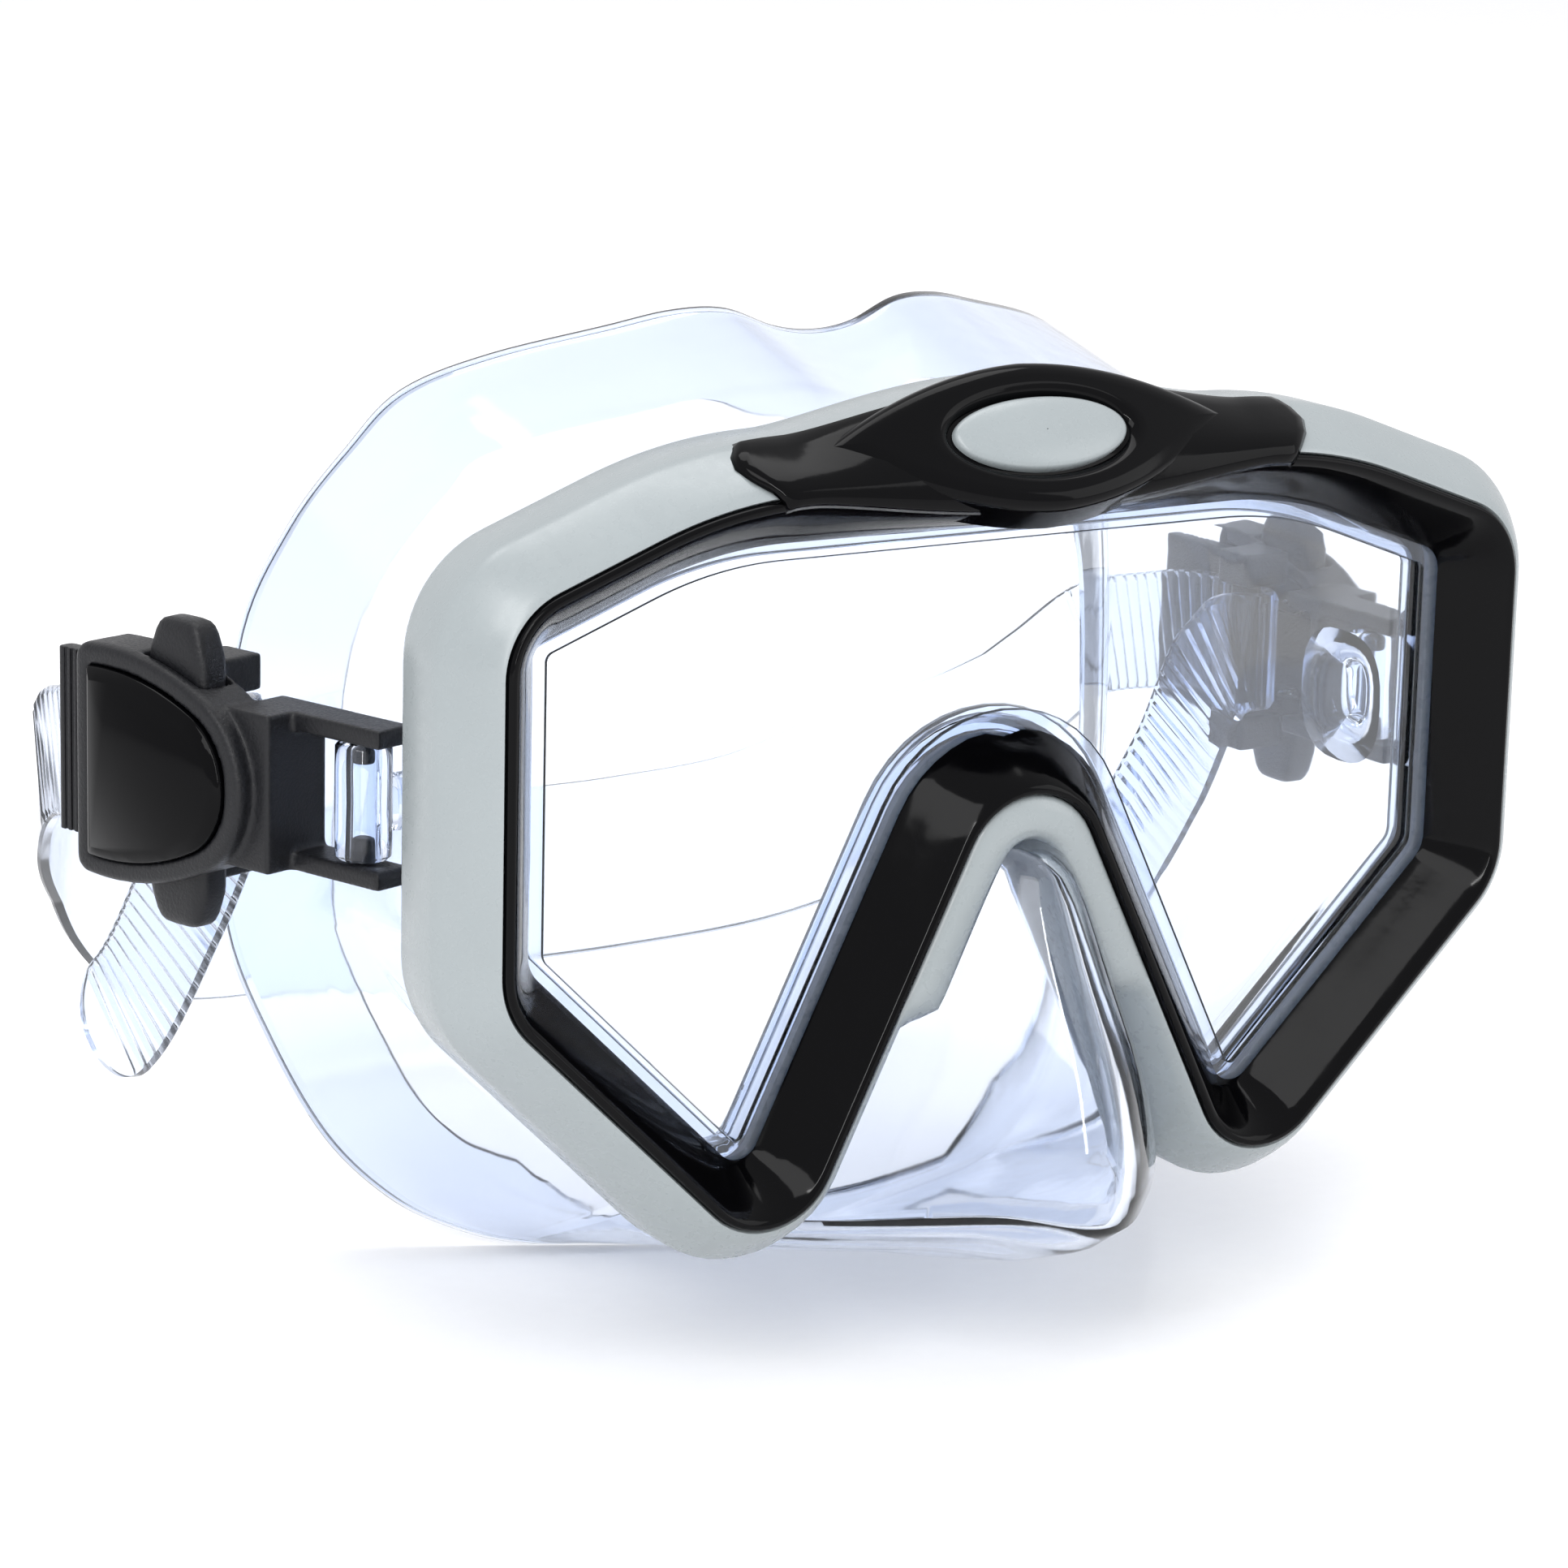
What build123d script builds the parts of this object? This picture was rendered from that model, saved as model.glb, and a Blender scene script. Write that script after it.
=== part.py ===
"""Diving mask with a single glass lens, a clear moulded skirt and two push-button strap buckles.

Millimetres. +Z is up, -Y is the way the wearer looks, +X is the wearer's left.
The origin is the middle of the face seal: on the centre plane, at eye height,
where the seal meets the brow. Left and right in the names are as seen from the front.
"""
import os
from math import cos, hypot, radians, sin, sqrt

from build123d import *

# ---------------------------------------------------------------- driving sizes
SEAL_DEPTH = 56.0  # front ridge of the frame to the brow seal

# corners of the ridge line of the frame, right half, as x and z
SIDE_X = 74.5
TOP_X, TOP_Z = SIDE_X - 30.5, 34.5
SHOULDER_Z = 23.0
CHEEK_Z = -24.5
LOBE_X, LOBE_Z = 35.2, -63.1
NOTCH_Z = 8.6
TOP_R, SHOULDER_R, CHEEK_R, LOBE_R, NOTCH_R = 60.0, 10.0, 11.0, 9.6, 10.7

BEVEL_WIDTH = 6.5  # black inner bevel, ridge to lens opening
BEVEL_DEPTH = 8.0
SLOPE_WIDTH = 6.5  # grey outer slope, ridge to rim
RIDGE_HALF = 0.6  # half the flat on top of the ridge
PART_GAP = 0.1  # between bezel and frame
FRAME_DEPTH = 17.0  # ridge to the back of the frame
SLOPE_START = 1.8  # where the grey slope leaves the ridge
WEB_REACH, WEB_HALF, WEB_LOW = 6.8, 24.0, -31.5  # flat web of the frame in the nose notch

LIP = 1.0  # front lip of the skirt, under the bezel
LENS_THICKNESS = 4.0
LENS_OVERLAP = 3.5  # lens edge outside the opening in the bezel
LIP_REACH = 2.2  # front lip seen inside the bezel
BACK_LIP = 2.0
SOFT_GAP = 0.3
COLLAR_WALL = 1.8
SKIRT_WALL = 2.0
SKIRT_INSET = 5.2  # outside of the skirt wall inside the ridge line, at the frame
COLLAR_LENGTH = 3.5

# corners of the rim of the skirt, right half, as x and z
RIM_TOP_X, RIM_TOP_Z = 22.0, 51.0
RIM_TEMPLE_X, RIM_TEMPLE_Z = SIDE_X - 14.5, 38.5
RIM_SIDE_X, RIM_SIDE_Z = SIDE_X - 2.5, -32.0
RIM_JAW_X, RIM_JAW_Z = 46.0, -82.0
RIM_LIP_Z = -76.0
RIM_RADII = (30.0, 15.0, 36.0, 20.0, 30.0)
MID_RADII = (45.0, 12.0, 24.0, 15.0, 20.0)
RIM_PLANE = SEAL_DEPTH + 36.0  # where the outline of the rim stands, behind the whole seal
MID_DEPTH, MID_NOTCH_Z, MID_SHARE = SEAL_DEPTH - 4.0, -62.0, 0.75
FACE_R = 94.0  # head that the rim fits
FACE_LEAN = 3.0
FLAP = 14.0  # inner seal turned in from the rim
FLAP_THICKNESS = 1.6

# nose pocket: its ridge, and its half width in the plane of the frame's edge
POCKET_TOP_Z, POCKET_BASE_Z = -12.5, -80.0
POCKET_TOP_Y, POCKET_BASE_Y = -4.0, -38.5
POCKET_TOP_W, POCKET_BASE_W = 2.0, 34.5
POCKET_WALL = 2.0
POCKET_R = 5.0
POCKET_HALF = 40.0
POCKET_CHIN_Z = -58.0
POCKET_SAG = 6.0  # how far the chin of the pocket curves forward
POCKET_MOUTH = MID_DEPTH + 8.0

# brow piece: the saddle, then the pad that leans back on it
BRIDGE_X, BRIDGE_SLANT = 46.0, 8.0
BRIDGE_THICKNESS = 1.6
BRIDGE_SHORT = 4.0  # back edge of the saddle, ahead of the back of the frame
PAD_HALF, PAD_TALL, PAD_DEPTH = 29.6, 9.0, 5.0
PAD_SET, PAD_Z, PAD_LEAN = 1.4, 39.7, 37.0
PAD_TIP_R, PAD_EDGE = 3.0, 0.8
BADGE_X, BADGE_Z = 12.7, 4.9
BADGE_SUNK, BADGE_PROUD, BADGE_GAP = 0.8, 0.8, 0.1

# buckle, in its own directions: s along the strap, t outward from the head, z up
HINGE_X, HINGE_DEPTH, HINGE_Z = SIDE_X + 3.0, 33.0, -5.0
LEFT_SPLAY, RIGHT_SPLAY = 18.0, -2.0
LUG_R, LUG_HEIGHT = 3.6, 14.6
NECK_HEIGHT, NECK_WIDTH, NECK_REACH = 8.0, 5.0, 19.0
PEG_R, PEG_LENGTH, PEG_GAP = 1.5, 3.0, 0.08
ARM_GAP, ARM_THICKNESS, ARM_TIP = 0.4, 2.4, 6.0
ARM_IN, ARM_OUT = -2.5, 3.5
FORK_FRONT, FORK_OUT, FORK_ROOT, FORK_WELL = 9.0, 7.6, 3.0, 2.0
SHELL_FRONT, SHELL_REAR = 11.5, 41.5
SHELL_HALF, SHELL_SHOULDER, SHELL_NOSE = 14.75, 11.2, 7.0
SHELL_IN, SHELL_OUT = 2.2, 10.2
SHELL_WALL, SHELL_FACE = 2.2, 1.0
SHELL_CORNER, SHELL_EDGE = 2.2, 1.0
CAP_INSET, CAP_SUNK, CAP_PROUD, CAP_DOME, CAP_GAP = 2.8, 1.0, 1.4, 1.0, 0.1
ROLLER_S, ROLLER_T, ROLLER_R, ROLLER_GAP = 26.0, -2.0, 2.0, 0.15
JOURNAL_R, JOURNAL_LENGTH, JOURNAL_GAP = 1.0, 2.3, 0.05
EAR_HALF, EAR_IN, EAR_OUT, EAR_SHORT = 3.4, -4.6, 3.0, 0.6
STRAP_WIDTH, STRAP_THICKNESS, STRAP_CLEAR, STRAP_PLAY = 17.0, 1.6, 0.3, 0.8
BUTTON_S, BUTTON_LENGTH, BUTTON_T, BUTTON_DEPTH = 25.5, 10.5, 5.5, 5.2
BUTTON_PROUD, BUTTON_BASE, BUTTON_GAP, BUTTON_EDGE = 5.0, 8.4, 0.12, 1.4
FLANGE_REAR, FLANGE_THICKNESS = 32.0, 2.2
SPRING_R, SPRING_WIRE, SPRING_PITCH, SPRING_T = 1.35, 0.25, 2.2, 6.3
PAWL_S, PAWL_T, PAWL_R, PAWL_HALF = 17.5, 3.7, 1.0, 5.2
PAWL_THICKNESS, PAWL_TIP, TOOTH, TOOTH_STEP, TEETH = 0.9, 29.5, 0.6, 1.4, 3
PIVOT_R, PIVOT_LENGTH, PIVOT_GAP, END_GAP = 0.8, 2.6, 0.05, 0.2
CHEEK_GAP, CHEEK_OUT, CHEEK_FRONT, CHEEK_REAR, CHEEK_SHORT = 0.8, 5.0, 1.7, 1.5, 0.3
GUIDE_FRONT, GUIDE_REAR, GUIDE_HALF, GUIDE_CORNER = 36.5, 50.5, 12.0, 0.9
GUIDE_THICKNESS, GUIDE_GAP, GUIDE_RIBS, GUIDE_EDGE = 2.6, 0.1, 6, 1.6
GROOVE_WIDTH, GROOVE_DEPTH = 0.5, 0.3
HOOK_HALF, HOOK_HEIGHT = 8.0, 1.6
CUT = 1.0  # how far cutting solids run past a face

# strap behind the head
BAND_WIDTH, BAND_DROP = 27.0, 44.0
BAND_REAR, BAND_HALF, BAND_SKEW = 153.0, SIDE_X - 22.5, 16.0
LEFT_ARM, RIGHT_ARM, TAIL_RUN = 60.0, 77.0, 60.0
ARM_BEND, BAND_BEND = 20.0, 34.0
DROP_START, DROP_END = 86.0, 146.0

# ------------------------------------------------------------- derived positions
RIDGE_Y = -SEAL_DEPTH
SEAT_Y = RIDGE_Y + BEVEL_DEPTH
LENS_Y = SEAT_Y + LIP
LENS_BACK_Y = LENS_Y + LENS_THICKNESS
COLLAR_Y = LENS_BACK_Y + BACK_LIP
FRAME_BACK_Y = RIDGE_Y + FRAME_DEPTH
OPENING = -BEVEL_WIDTH
RIM = SLOPE_WIDTH
LENS_EDGE = OPENING + LENS_OVERLAP
COLLAR_EDGE = LENS_EDGE + COLLAR_WALL
BRIDGE_EDGE = RIM + BRIDGE_THICKNESS
EAR_Z = STRAP_WIDTH / 2 + STRAP_PLAY
CAP_FLOOR = SHELL_OUT - CAP_SUNK
CAVITY_OUT = CAP_FLOOR - SHELL_FACE
ARM_Z = LUG_HEIGHT / 2 + ARM_GAP
FORK_HALF = ARM_Z + ARM_THICKNESS
BUTTON_SPAN = (BUTTON_S - BUTTON_LENGTH / 2, BUTTON_S + BUTTON_LENGTH / 2)
BUTTON_BAND = (BUTTON_T - BUTTON_DEPTH / 2, BUTTON_T + BUTTON_DEPTH / 2)
GUIDE_OUT = SHELL_IN + GUIDE_GAP + GUIDE_THICKNESS
TURN_R = ROLLER_R + STRAP_CLEAR + STRAP_THICKNESS / 2
UP = Vector(0, 0, 1)
FORWARD = Vector(0, -1, 0)

os.makedirs("parts", exist_ok=True)


# ------------------------------------------------------------------- outlines
def mirrored(half, notch_z):
    """Corners of a closed outline from its right half and the notch on the centre plane."""
    left = [(-x, z) for x, z in reversed(half)]
    return half + [(0, notch_z)] + left


def moved_out(corners, grow):
    """Each side of a clockwise outline moved outward by grow, as new corners."""
    result = []
    for i, here in enumerate(corners):
        before, after = corners[i - 1], corners[(i + 1) % len(corners)]
        first = (here[0] - before[0], here[1] - before[1])
        second = (after[0] - here[0], after[1] - here[1])
        n1 = (-first[1] / hypot(*first), first[0] / hypot(*first))
        n2 = (-second[1] / hypot(*second), second[0] / hypot(*second))
        share = grow / (1 + n1[0] * n2[0] + n1[1] * n2[1])
        result.append((here[0] + share * (n1[0] + n2[0]), here[1] + share * (n1[1] + n2[1])))
    return result


FRAME_CORNERS = mirrored(
    [(TOP_X, TOP_Z), (SIDE_X, SHOULDER_Z), (SIDE_X, CHEEK_Z), (LOBE_X, LOBE_Z)], NOTCH_Z
)
FRAME_RADII = (TOP_R, SHOULDER_R, CHEEK_R, LOBE_R, NOTCH_R)
RIM_CORNERS = mirrored(
    [
        (RIM_TOP_X, RIM_TOP_Z),
        (RIM_TEMPLE_X, RIM_TEMPLE_Z),
        (RIM_SIDE_X, RIM_SIDE_Z),
        (RIM_JAW_X, RIM_JAW_Z),
    ],
    RIM_LIP_Z,
)


def outline(corners, radii, y, grow=0.0):
    """One filleted outline in the plane at y, offset outward by grow."""
    rounds = list(radii) + list(reversed(radii[:-1]))
    signs = [1, 1, 1, 1, -1, 1, 1, 1, 1]
    with BuildSketch(Plane.XZ.offset(-y)) as sketch:
        with BuildLine():
            FilletPolyline(
                *moved_out(corners, grow),
                radius=[max(r + s * grow, 0.6) for r, s in zip(rounds, signs)],
                close=True,
            )
        make_face()
    return sketch.sketch


def frame_outline(y, grow=0.0):
    return outline(FRAME_CORNERS, FRAME_RADII, y, grow)


def mid_corners():
    """Outline of the skirt halfway back, where the notch has closed."""
    front = moved_out(FRAME_CORNERS, -SKIRT_INSET)
    middle = [
        (a[0] + MID_SHARE * (b[0] - a[0]), a[1] + MID_SHARE * (b[1] - a[1]))
        for a, b in zip(front, RIM_CORNERS)
    ]
    middle[4] = (0, MID_NOTCH_Z)
    return middle


# ------------------------------------------------------------------ front frame
with BuildPart() as front_bezel:
    extrude(frame_outline(SEAT_Y, RIDGE_HALF), BEVEL_DEPTH, dir=FORWARD)
    bevel = [frame_outline(RIDGE_Y, -RIDGE_HALF), frame_outline(SEAT_Y, OPENING)]
    loft(bevel, ruled=True, mode=Mode.SUBTRACT)
front_bezel.part.label = "front_bezel"
export_step(front_bezel.part, "parts/front_bezel.step")

with BuildPart() as notch_web:
    extrude(frame_outline(SEAT_Y, WEB_REACH), BEVEL_DEPTH, dir=FORWARD)
    with Locations((0, RIDGE_Y, (WEB_LOW + NOTCH_Z) / 2)):
        Box(2 * WEB_HALF, 2 * FRAME_DEPTH, NOTCH_Z - WEB_LOW, mode=Mode.INTERSECT)

with BuildPart() as trim_frame:
    slope = [frame_outline(RIDGE_Y + RIDGE_HALF, SLOPE_START), frame_outline(SEAT_Y, RIM)]
    loft(slope, ruled=True)
    extrude(frame_outline(FRAME_BACK_Y, RIM), FRAME_DEPTH - BEVEL_DEPTH, dir=FORWARD)
    add(notch_web.part)
    bezel_seat = frame_outline(SEAT_Y, RIDGE_HALF + PART_GAP)
    extrude(bezel_seat, BEVEL_DEPTH, dir=FORWARD, mode=Mode.SUBTRACT)
    collar_seat = frame_outline(COLLAR_Y + SOFT_GAP, COLLAR_EDGE + SOFT_GAP)
    extrude(collar_seat, COLLAR_Y + SOFT_GAP - SEAT_Y, dir=FORWARD, mode=Mode.SUBTRACT)
    skirt_opening = frame_outline(FRAME_BACK_Y, -SKIRT_INSET + SOFT_GAP)
    extrude(skirt_opening, FRAME_DEPTH, dir=FORWARD, mode=Mode.SUBTRACT)
trim_frame.part.label = "trim_frame"
export_step(trim_frame.part, "parts/trim_frame.step")

with BuildPart() as lens:
    extrude(frame_outline(LENS_BACK_Y, LENS_EDGE), LENS_THICKNESS, dir=FORWARD)
lens.part.label = "lens"
export_step(lens.part, "parts/lens.step")


# ------------------------------------------------------------------ brow piece
PAD_PLANE = Plane(
    (0, RIDGE_Y + PAD_SET, PAD_Z),
    x_dir=(1, 0, 0),
    z_dir=(0, -cos(radians(PAD_LEAN)), sin(radians(PAD_LEAN))),
)


def oval(proud, grow):
    """Oval of the badge on the leaning pad, proud of its face."""
    with BuildSketch(PAD_PLANE.offset(proud)) as sketch:
        Ellipse(BADGE_X + grow, BADGE_Z + grow)
    return sketch.sketch


def eye(proud, shrink):
    """Eye-shaped outline of the pad on its leaning plane."""
    side, tall = PAD_HALF - 2 * shrink, PAD_TALL - shrink
    with BuildSketch(PAD_PLANE.offset(proud)) as sketch:
        with BuildLine():
            ThreePointArc((-side, 0), (0, tall), (side, 0))
            ThreePointArc((side, 0), (0, -tall), (-side, 0))
        make_face()
        fillet(sketch.vertices(), PAD_TIP_R)
    return sketch.sketch


with BuildPart() as pad_block:
    loft([eye(-PAD_EDGE, 0.0), eye(0.0, PAD_EDGE)], ruled=True)
    extrude(eye(-PAD_EDGE, 0.0), PAD_DEPTH, dir=-PAD_PLANE.z_dir)

with BuildPart() as brow_bridge:
    over = [
        frame_outline(RIDGE_Y, SLOPE_START + BRIDGE_THICKNESS),
        frame_outline(SEAT_Y, BRIDGE_EDGE),
    ]
    loft(over, ruled=True)
    bridge_depth = FRAME_DEPTH - BEVEL_DEPTH - BRIDGE_SHORT
    extrude(frame_outline(FRAME_BACK_Y - BRIDGE_SHORT, BRIDGE_EDGE), bridge_depth, dir=FORWARD)
    extrude(frame_outline(FRAME_BACK_Y, RIDGE_HALF), FRAME_DEPTH, dir=FORWARD, mode=Mode.SUBTRACT)
    add(trim_frame.part, mode=Mode.SUBTRACT)
    with BuildSketch(Plane.XZ.offset(-FRAME_BACK_Y)):
        with BuildLine():
            Polyline(
                (-BRIDGE_X, TOP_Z + 2 * BRIDGE_SLANT),
                (BRIDGE_X, TOP_Z + 2 * BRIDGE_SLANT),
                (BRIDGE_X - BRIDGE_SLANT, TOP_Z - BRIDGE_SLANT),
                (BRIDGE_SLANT - BRIDGE_X, TOP_Z - BRIDGE_SLANT),
                close=True,
            )
        make_face()
    extrude(amount=2 * FRAME_DEPTH, mode=Mode.INTERSECT)
    add(pad_block.part, mode=Mode.SUBTRACT)
brow_bridge.part.label = "brow_bridge"
export_step(brow_bridge.part, "parts/brow_bridge.step")

with BuildPart() as brow_pad:
    add(pad_block.part)
    extrude(oval(-BADGE_SUNK, BADGE_GAP), 2 * BADGE_SUNK, dir=PAD_PLANE.z_dir, mode=Mode.SUBTRACT)
    extrude(frame_outline(FRAME_BACK_Y, SLOPE_START), FRAME_DEPTH, dir=FORWARD, mode=Mode.SUBTRACT)
    add(trim_frame.part, mode=Mode.SUBTRACT)
brow_pad.part.label = "brow_pad"
export_step(brow_pad.part, "parts/brow_pad.step")

with BuildPart() as brow_badge:
    extrude(oval(-BADGE_SUNK, 0.0), BADGE_SUNK + BADGE_PROUD, dir=PAD_PLANE.z_dir)
    badge_face = brow_badge.faces().sort_by(Axis(PAD_PLANE.origin, PAD_PLANE.z_dir))[-1]
    fillet(badge_face.edges(), BADGE_PROUD * 0.8)
brow_badge.part.label = "brow_badge"
export_step(brow_badge.part, "parts/brow_badge.step")


# ------------------------------------------------------------------------ skirt
def pocket_section(z, ridge_y, half_width, inset):
    """Level section of the nose pocket: a rounded V that opens to the back."""
    slope = half_width / (SEAT_Y - ridge_y)
    start = ridge_y + inset * sqrt(1 + slope**2) / slope
    back = RIDGE_Y + POCKET_MOUTH
    wide = slope * (back - start)
    with BuildSketch(Plane.XY.offset(z)) as sketch:
        with BuildLine():
            Polyline((-wide, back), (0, start), (wide, back), close=True)
        make_face()
        fillet(sketch.vertices().sort_by(Axis.Y)[0], max(POCKET_R - inset, 1.5))
    return sketch.sketch


def pocket(inset):
    """Nose pocket as a closed volume, inset from its outside."""
    ends = [
        pocket_section(POCKET_TOP_Z, RIDGE_Y + POCKET_TOP_Y, POCKET_TOP_W, inset),
        pocket_section(POCKET_BASE_Z, RIDGE_Y + POCKET_BASE_Y, POCKET_BASE_W, inset),
    ]
    top, chin = POCKET_TOP_Z - inset, POCKET_CHIN_Z + inset
    front, back = RIDGE_Y + POCKET_BASE_Y, RIDGE_Y + POCKET_MOUTH
    floor = RIM_LIP_Z - 1.0 + inset
    half = POCKET_HALF - inset
    under = ((front + back) / 2 - POCKET_SAG, (chin + 2 * floor) / 3)
    with BuildPart() as volume:
        loft(ends, ruled=True)
        with BuildSketch(Plane.YZ):
            with BuildLine():
                Line((back, top), (front, top))
                Line((front, top), (front, chin))
                ThreePointArc((front, chin), under, (back, floor))
                Line((back, floor), (back, top))
            make_face()
        extrude(amount=half, both=True, mode=Mode.INTERSECT)
    return volume.part


def skirt_volume(inset):
    """Everything inside the skirt wall, inset from its outside, nose pocket included."""
    grow = -SKIRT_INSET - inset
    stations = [
        frame_outline(FRAME_BACK_Y + COLLAR_LENGTH, grow),
        outline(mid_corners(), MID_RADII, RIDGE_Y + MID_DEPTH, -inset),
        outline(RIM_CORNERS, RIM_RADII, RIDGE_Y + RIM_PLANE, -inset),
    ]
    with BuildPart() as volume:
        collar = FRAME_BACK_Y + COLLAR_LENGTH - LENS_BACK_Y
        extrude(stations[0], collar, dir=FORWARD)
        loft(stations, ruled=True)
        add(pocket(inset))
    return volume.part


def head(grow):
    """The wearer's head, as the upright round that the seal follows."""
    with BuildPart() as volume:
        with BuildSketch(Plane.XY.offset(-2 * SIDE_X).rotated((FACE_LEAN, 0, 0))):
            with Locations((0, FACE_R)):
                Circle(FACE_R + grow)
        extrude(amount=4 * SIDE_X)
    return volume.part


def hinge(side):
    """Middle of a buckle's swivel axis; side is -1 on the left and 1 on the right."""
    return Vector(side * HINGE_X, RIDGE_Y + HINGE_DEPTH, HINGE_Z)


with BuildPart() as inside:
    add(skirt_volume(SKIRT_WALL))
    add(head(FLAP_THICKNESS), mode=Mode.SUBTRACT)
    face_opening = outline(RIM_CORNERS, RIM_RADII, RIDGE_Y + RIM_PLANE, -FLAP)
    extrude(face_opening, RIM_PLANE - MID_DEPTH + 10.0, dir=FORWARD)
    extrude(frame_outline(COLLAR_Y, OPENING - LIP_REACH), COLLAR_Y - SEAT_Y, dir=FORWARD)

with BuildPart() as skirt:
    add(skirt_volume(0.0))
    add(head(0.0), mode=Mode.SUBTRACT)
    flange = frame_outline(COLLAR_Y, COLLAR_EDGE)
    extrude(flange, COLLAR_Y - SEAT_Y, dir=FORWARD)
    for side in (-1, 1):
        with BuildSketch(Plane(hinge(side) - UP * (LUG_HEIGHT / 2), z_dir=UP)):
            Circle(LUG_R)
        extrude(amount=LUG_HEIGHT)
        with BuildSketch(Plane(hinge(side) - UP * (NECK_HEIGHT / 2), z_dir=UP)):
            with Locations((-side * NECK_REACH / 2, -LUG_R / 2)):
                Rectangle(NECK_REACH, NECK_WIDTH)
        extrude(amount=NECK_HEIGHT)
    add(inside.part, mode=Mode.SUBTRACT)
    extrude(frame_outline(LENS_BACK_Y, LENS_EDGE), LENS_THICKNESS, dir=FORWARD, mode=Mode.SUBTRACT)
    for side in (-1, 1):
        for up in (-1, 1):
            end = hinge(side) + UP * (up * LUG_HEIGHT / 2)
            with BuildSketch(Plane(end, z_dir=-up * UP)):
                Circle(PEG_R + PEG_GAP)
            extrude(amount=PEG_LENGTH, mode=Mode.SUBTRACT)
skirt.part.label = "skirt"
export_step(skirt.part, "parts/skirt.step")


# ---------------------------------------------------------------------- buckles
class Side:
    """Where one buckle stands: its hinge and its own directions."""

    def __init__(self, name, sign, splay):
        self.name, self.sign = name, sign
        self.origin = hinge(sign)
        self.along = Vector(sign * sin(radians(splay)), cos(radians(splay)), 0)
        self.out = Vector(sign * cos(radians(splay)), -sin(radians(splay)), 0)

    def point(self, s, t, z=0.0):
        return self.origin + self.along * s + self.out * t + UP * z

    def face(self, t):
        """Plane that faces outward at t, with x along the strap."""
        return Plane(self.point(0, t), x_dir=self.along, z_dir=self.out)

    def level(self, z):
        """Level plane at z, with x along the strap."""
        return Plane(self.point(0, 0, z), x_dir=self.along, z_dir=UP)

    def bar(self, s, t, z):
        """Rectangle from s[0] to s[1] and t[0] to t[1] on the level plane at z."""
        with BuildSketch(self.level(z)) as sketch:
            with Locations(((s[0] + s[1]) / 2, -self.sign * (t[0] + t[1]) / 2)):
                Rectangle(s[1] - s[0], t[1] - t[0])
        return sketch.sketch

    def disc(self, s, t, z, radius):
        """Circle around an upright axis at s and t, on the level plane at z."""
        with BuildSketch(self.level(z)) as sketch:
            with Locations((s, -self.sign * t)):
                Circle(radius)
        return sketch.sketch


def shell_outline(place, t, inset):
    """Outline of the buckle's shell: straight at the rear, round towards the mask."""
    shoulder = SHELL_FRONT + SHELL_NOSE
    with BuildSketch(place.face(t)) as sketch:
        with BuildLine():
            low, high = (shoulder, -SHELL_SHOULDER), (shoulder, SHELL_SHOULDER)
            nose = ThreePointArc(low, (SHELL_FRONT, 0), high)
            TangentArc(high, (SHELL_REAR, SHELL_HALF), tangent=nose % 1)
            TangentArc(low, (SHELL_REAR, -SHELL_HALF), tangent=-(nose % 0))
            Line((SHELL_REAR, -SHELL_HALF), (SHELL_REAR, SHELL_HALF))
        make_face()
        fillet(sketch.vertices().group_by(Axis.X)[-1], SHELL_CORNER)
        if inset:
            offset(amount=-inset, mode=Mode.REPLACE)
    return sketch.sketch


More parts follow.
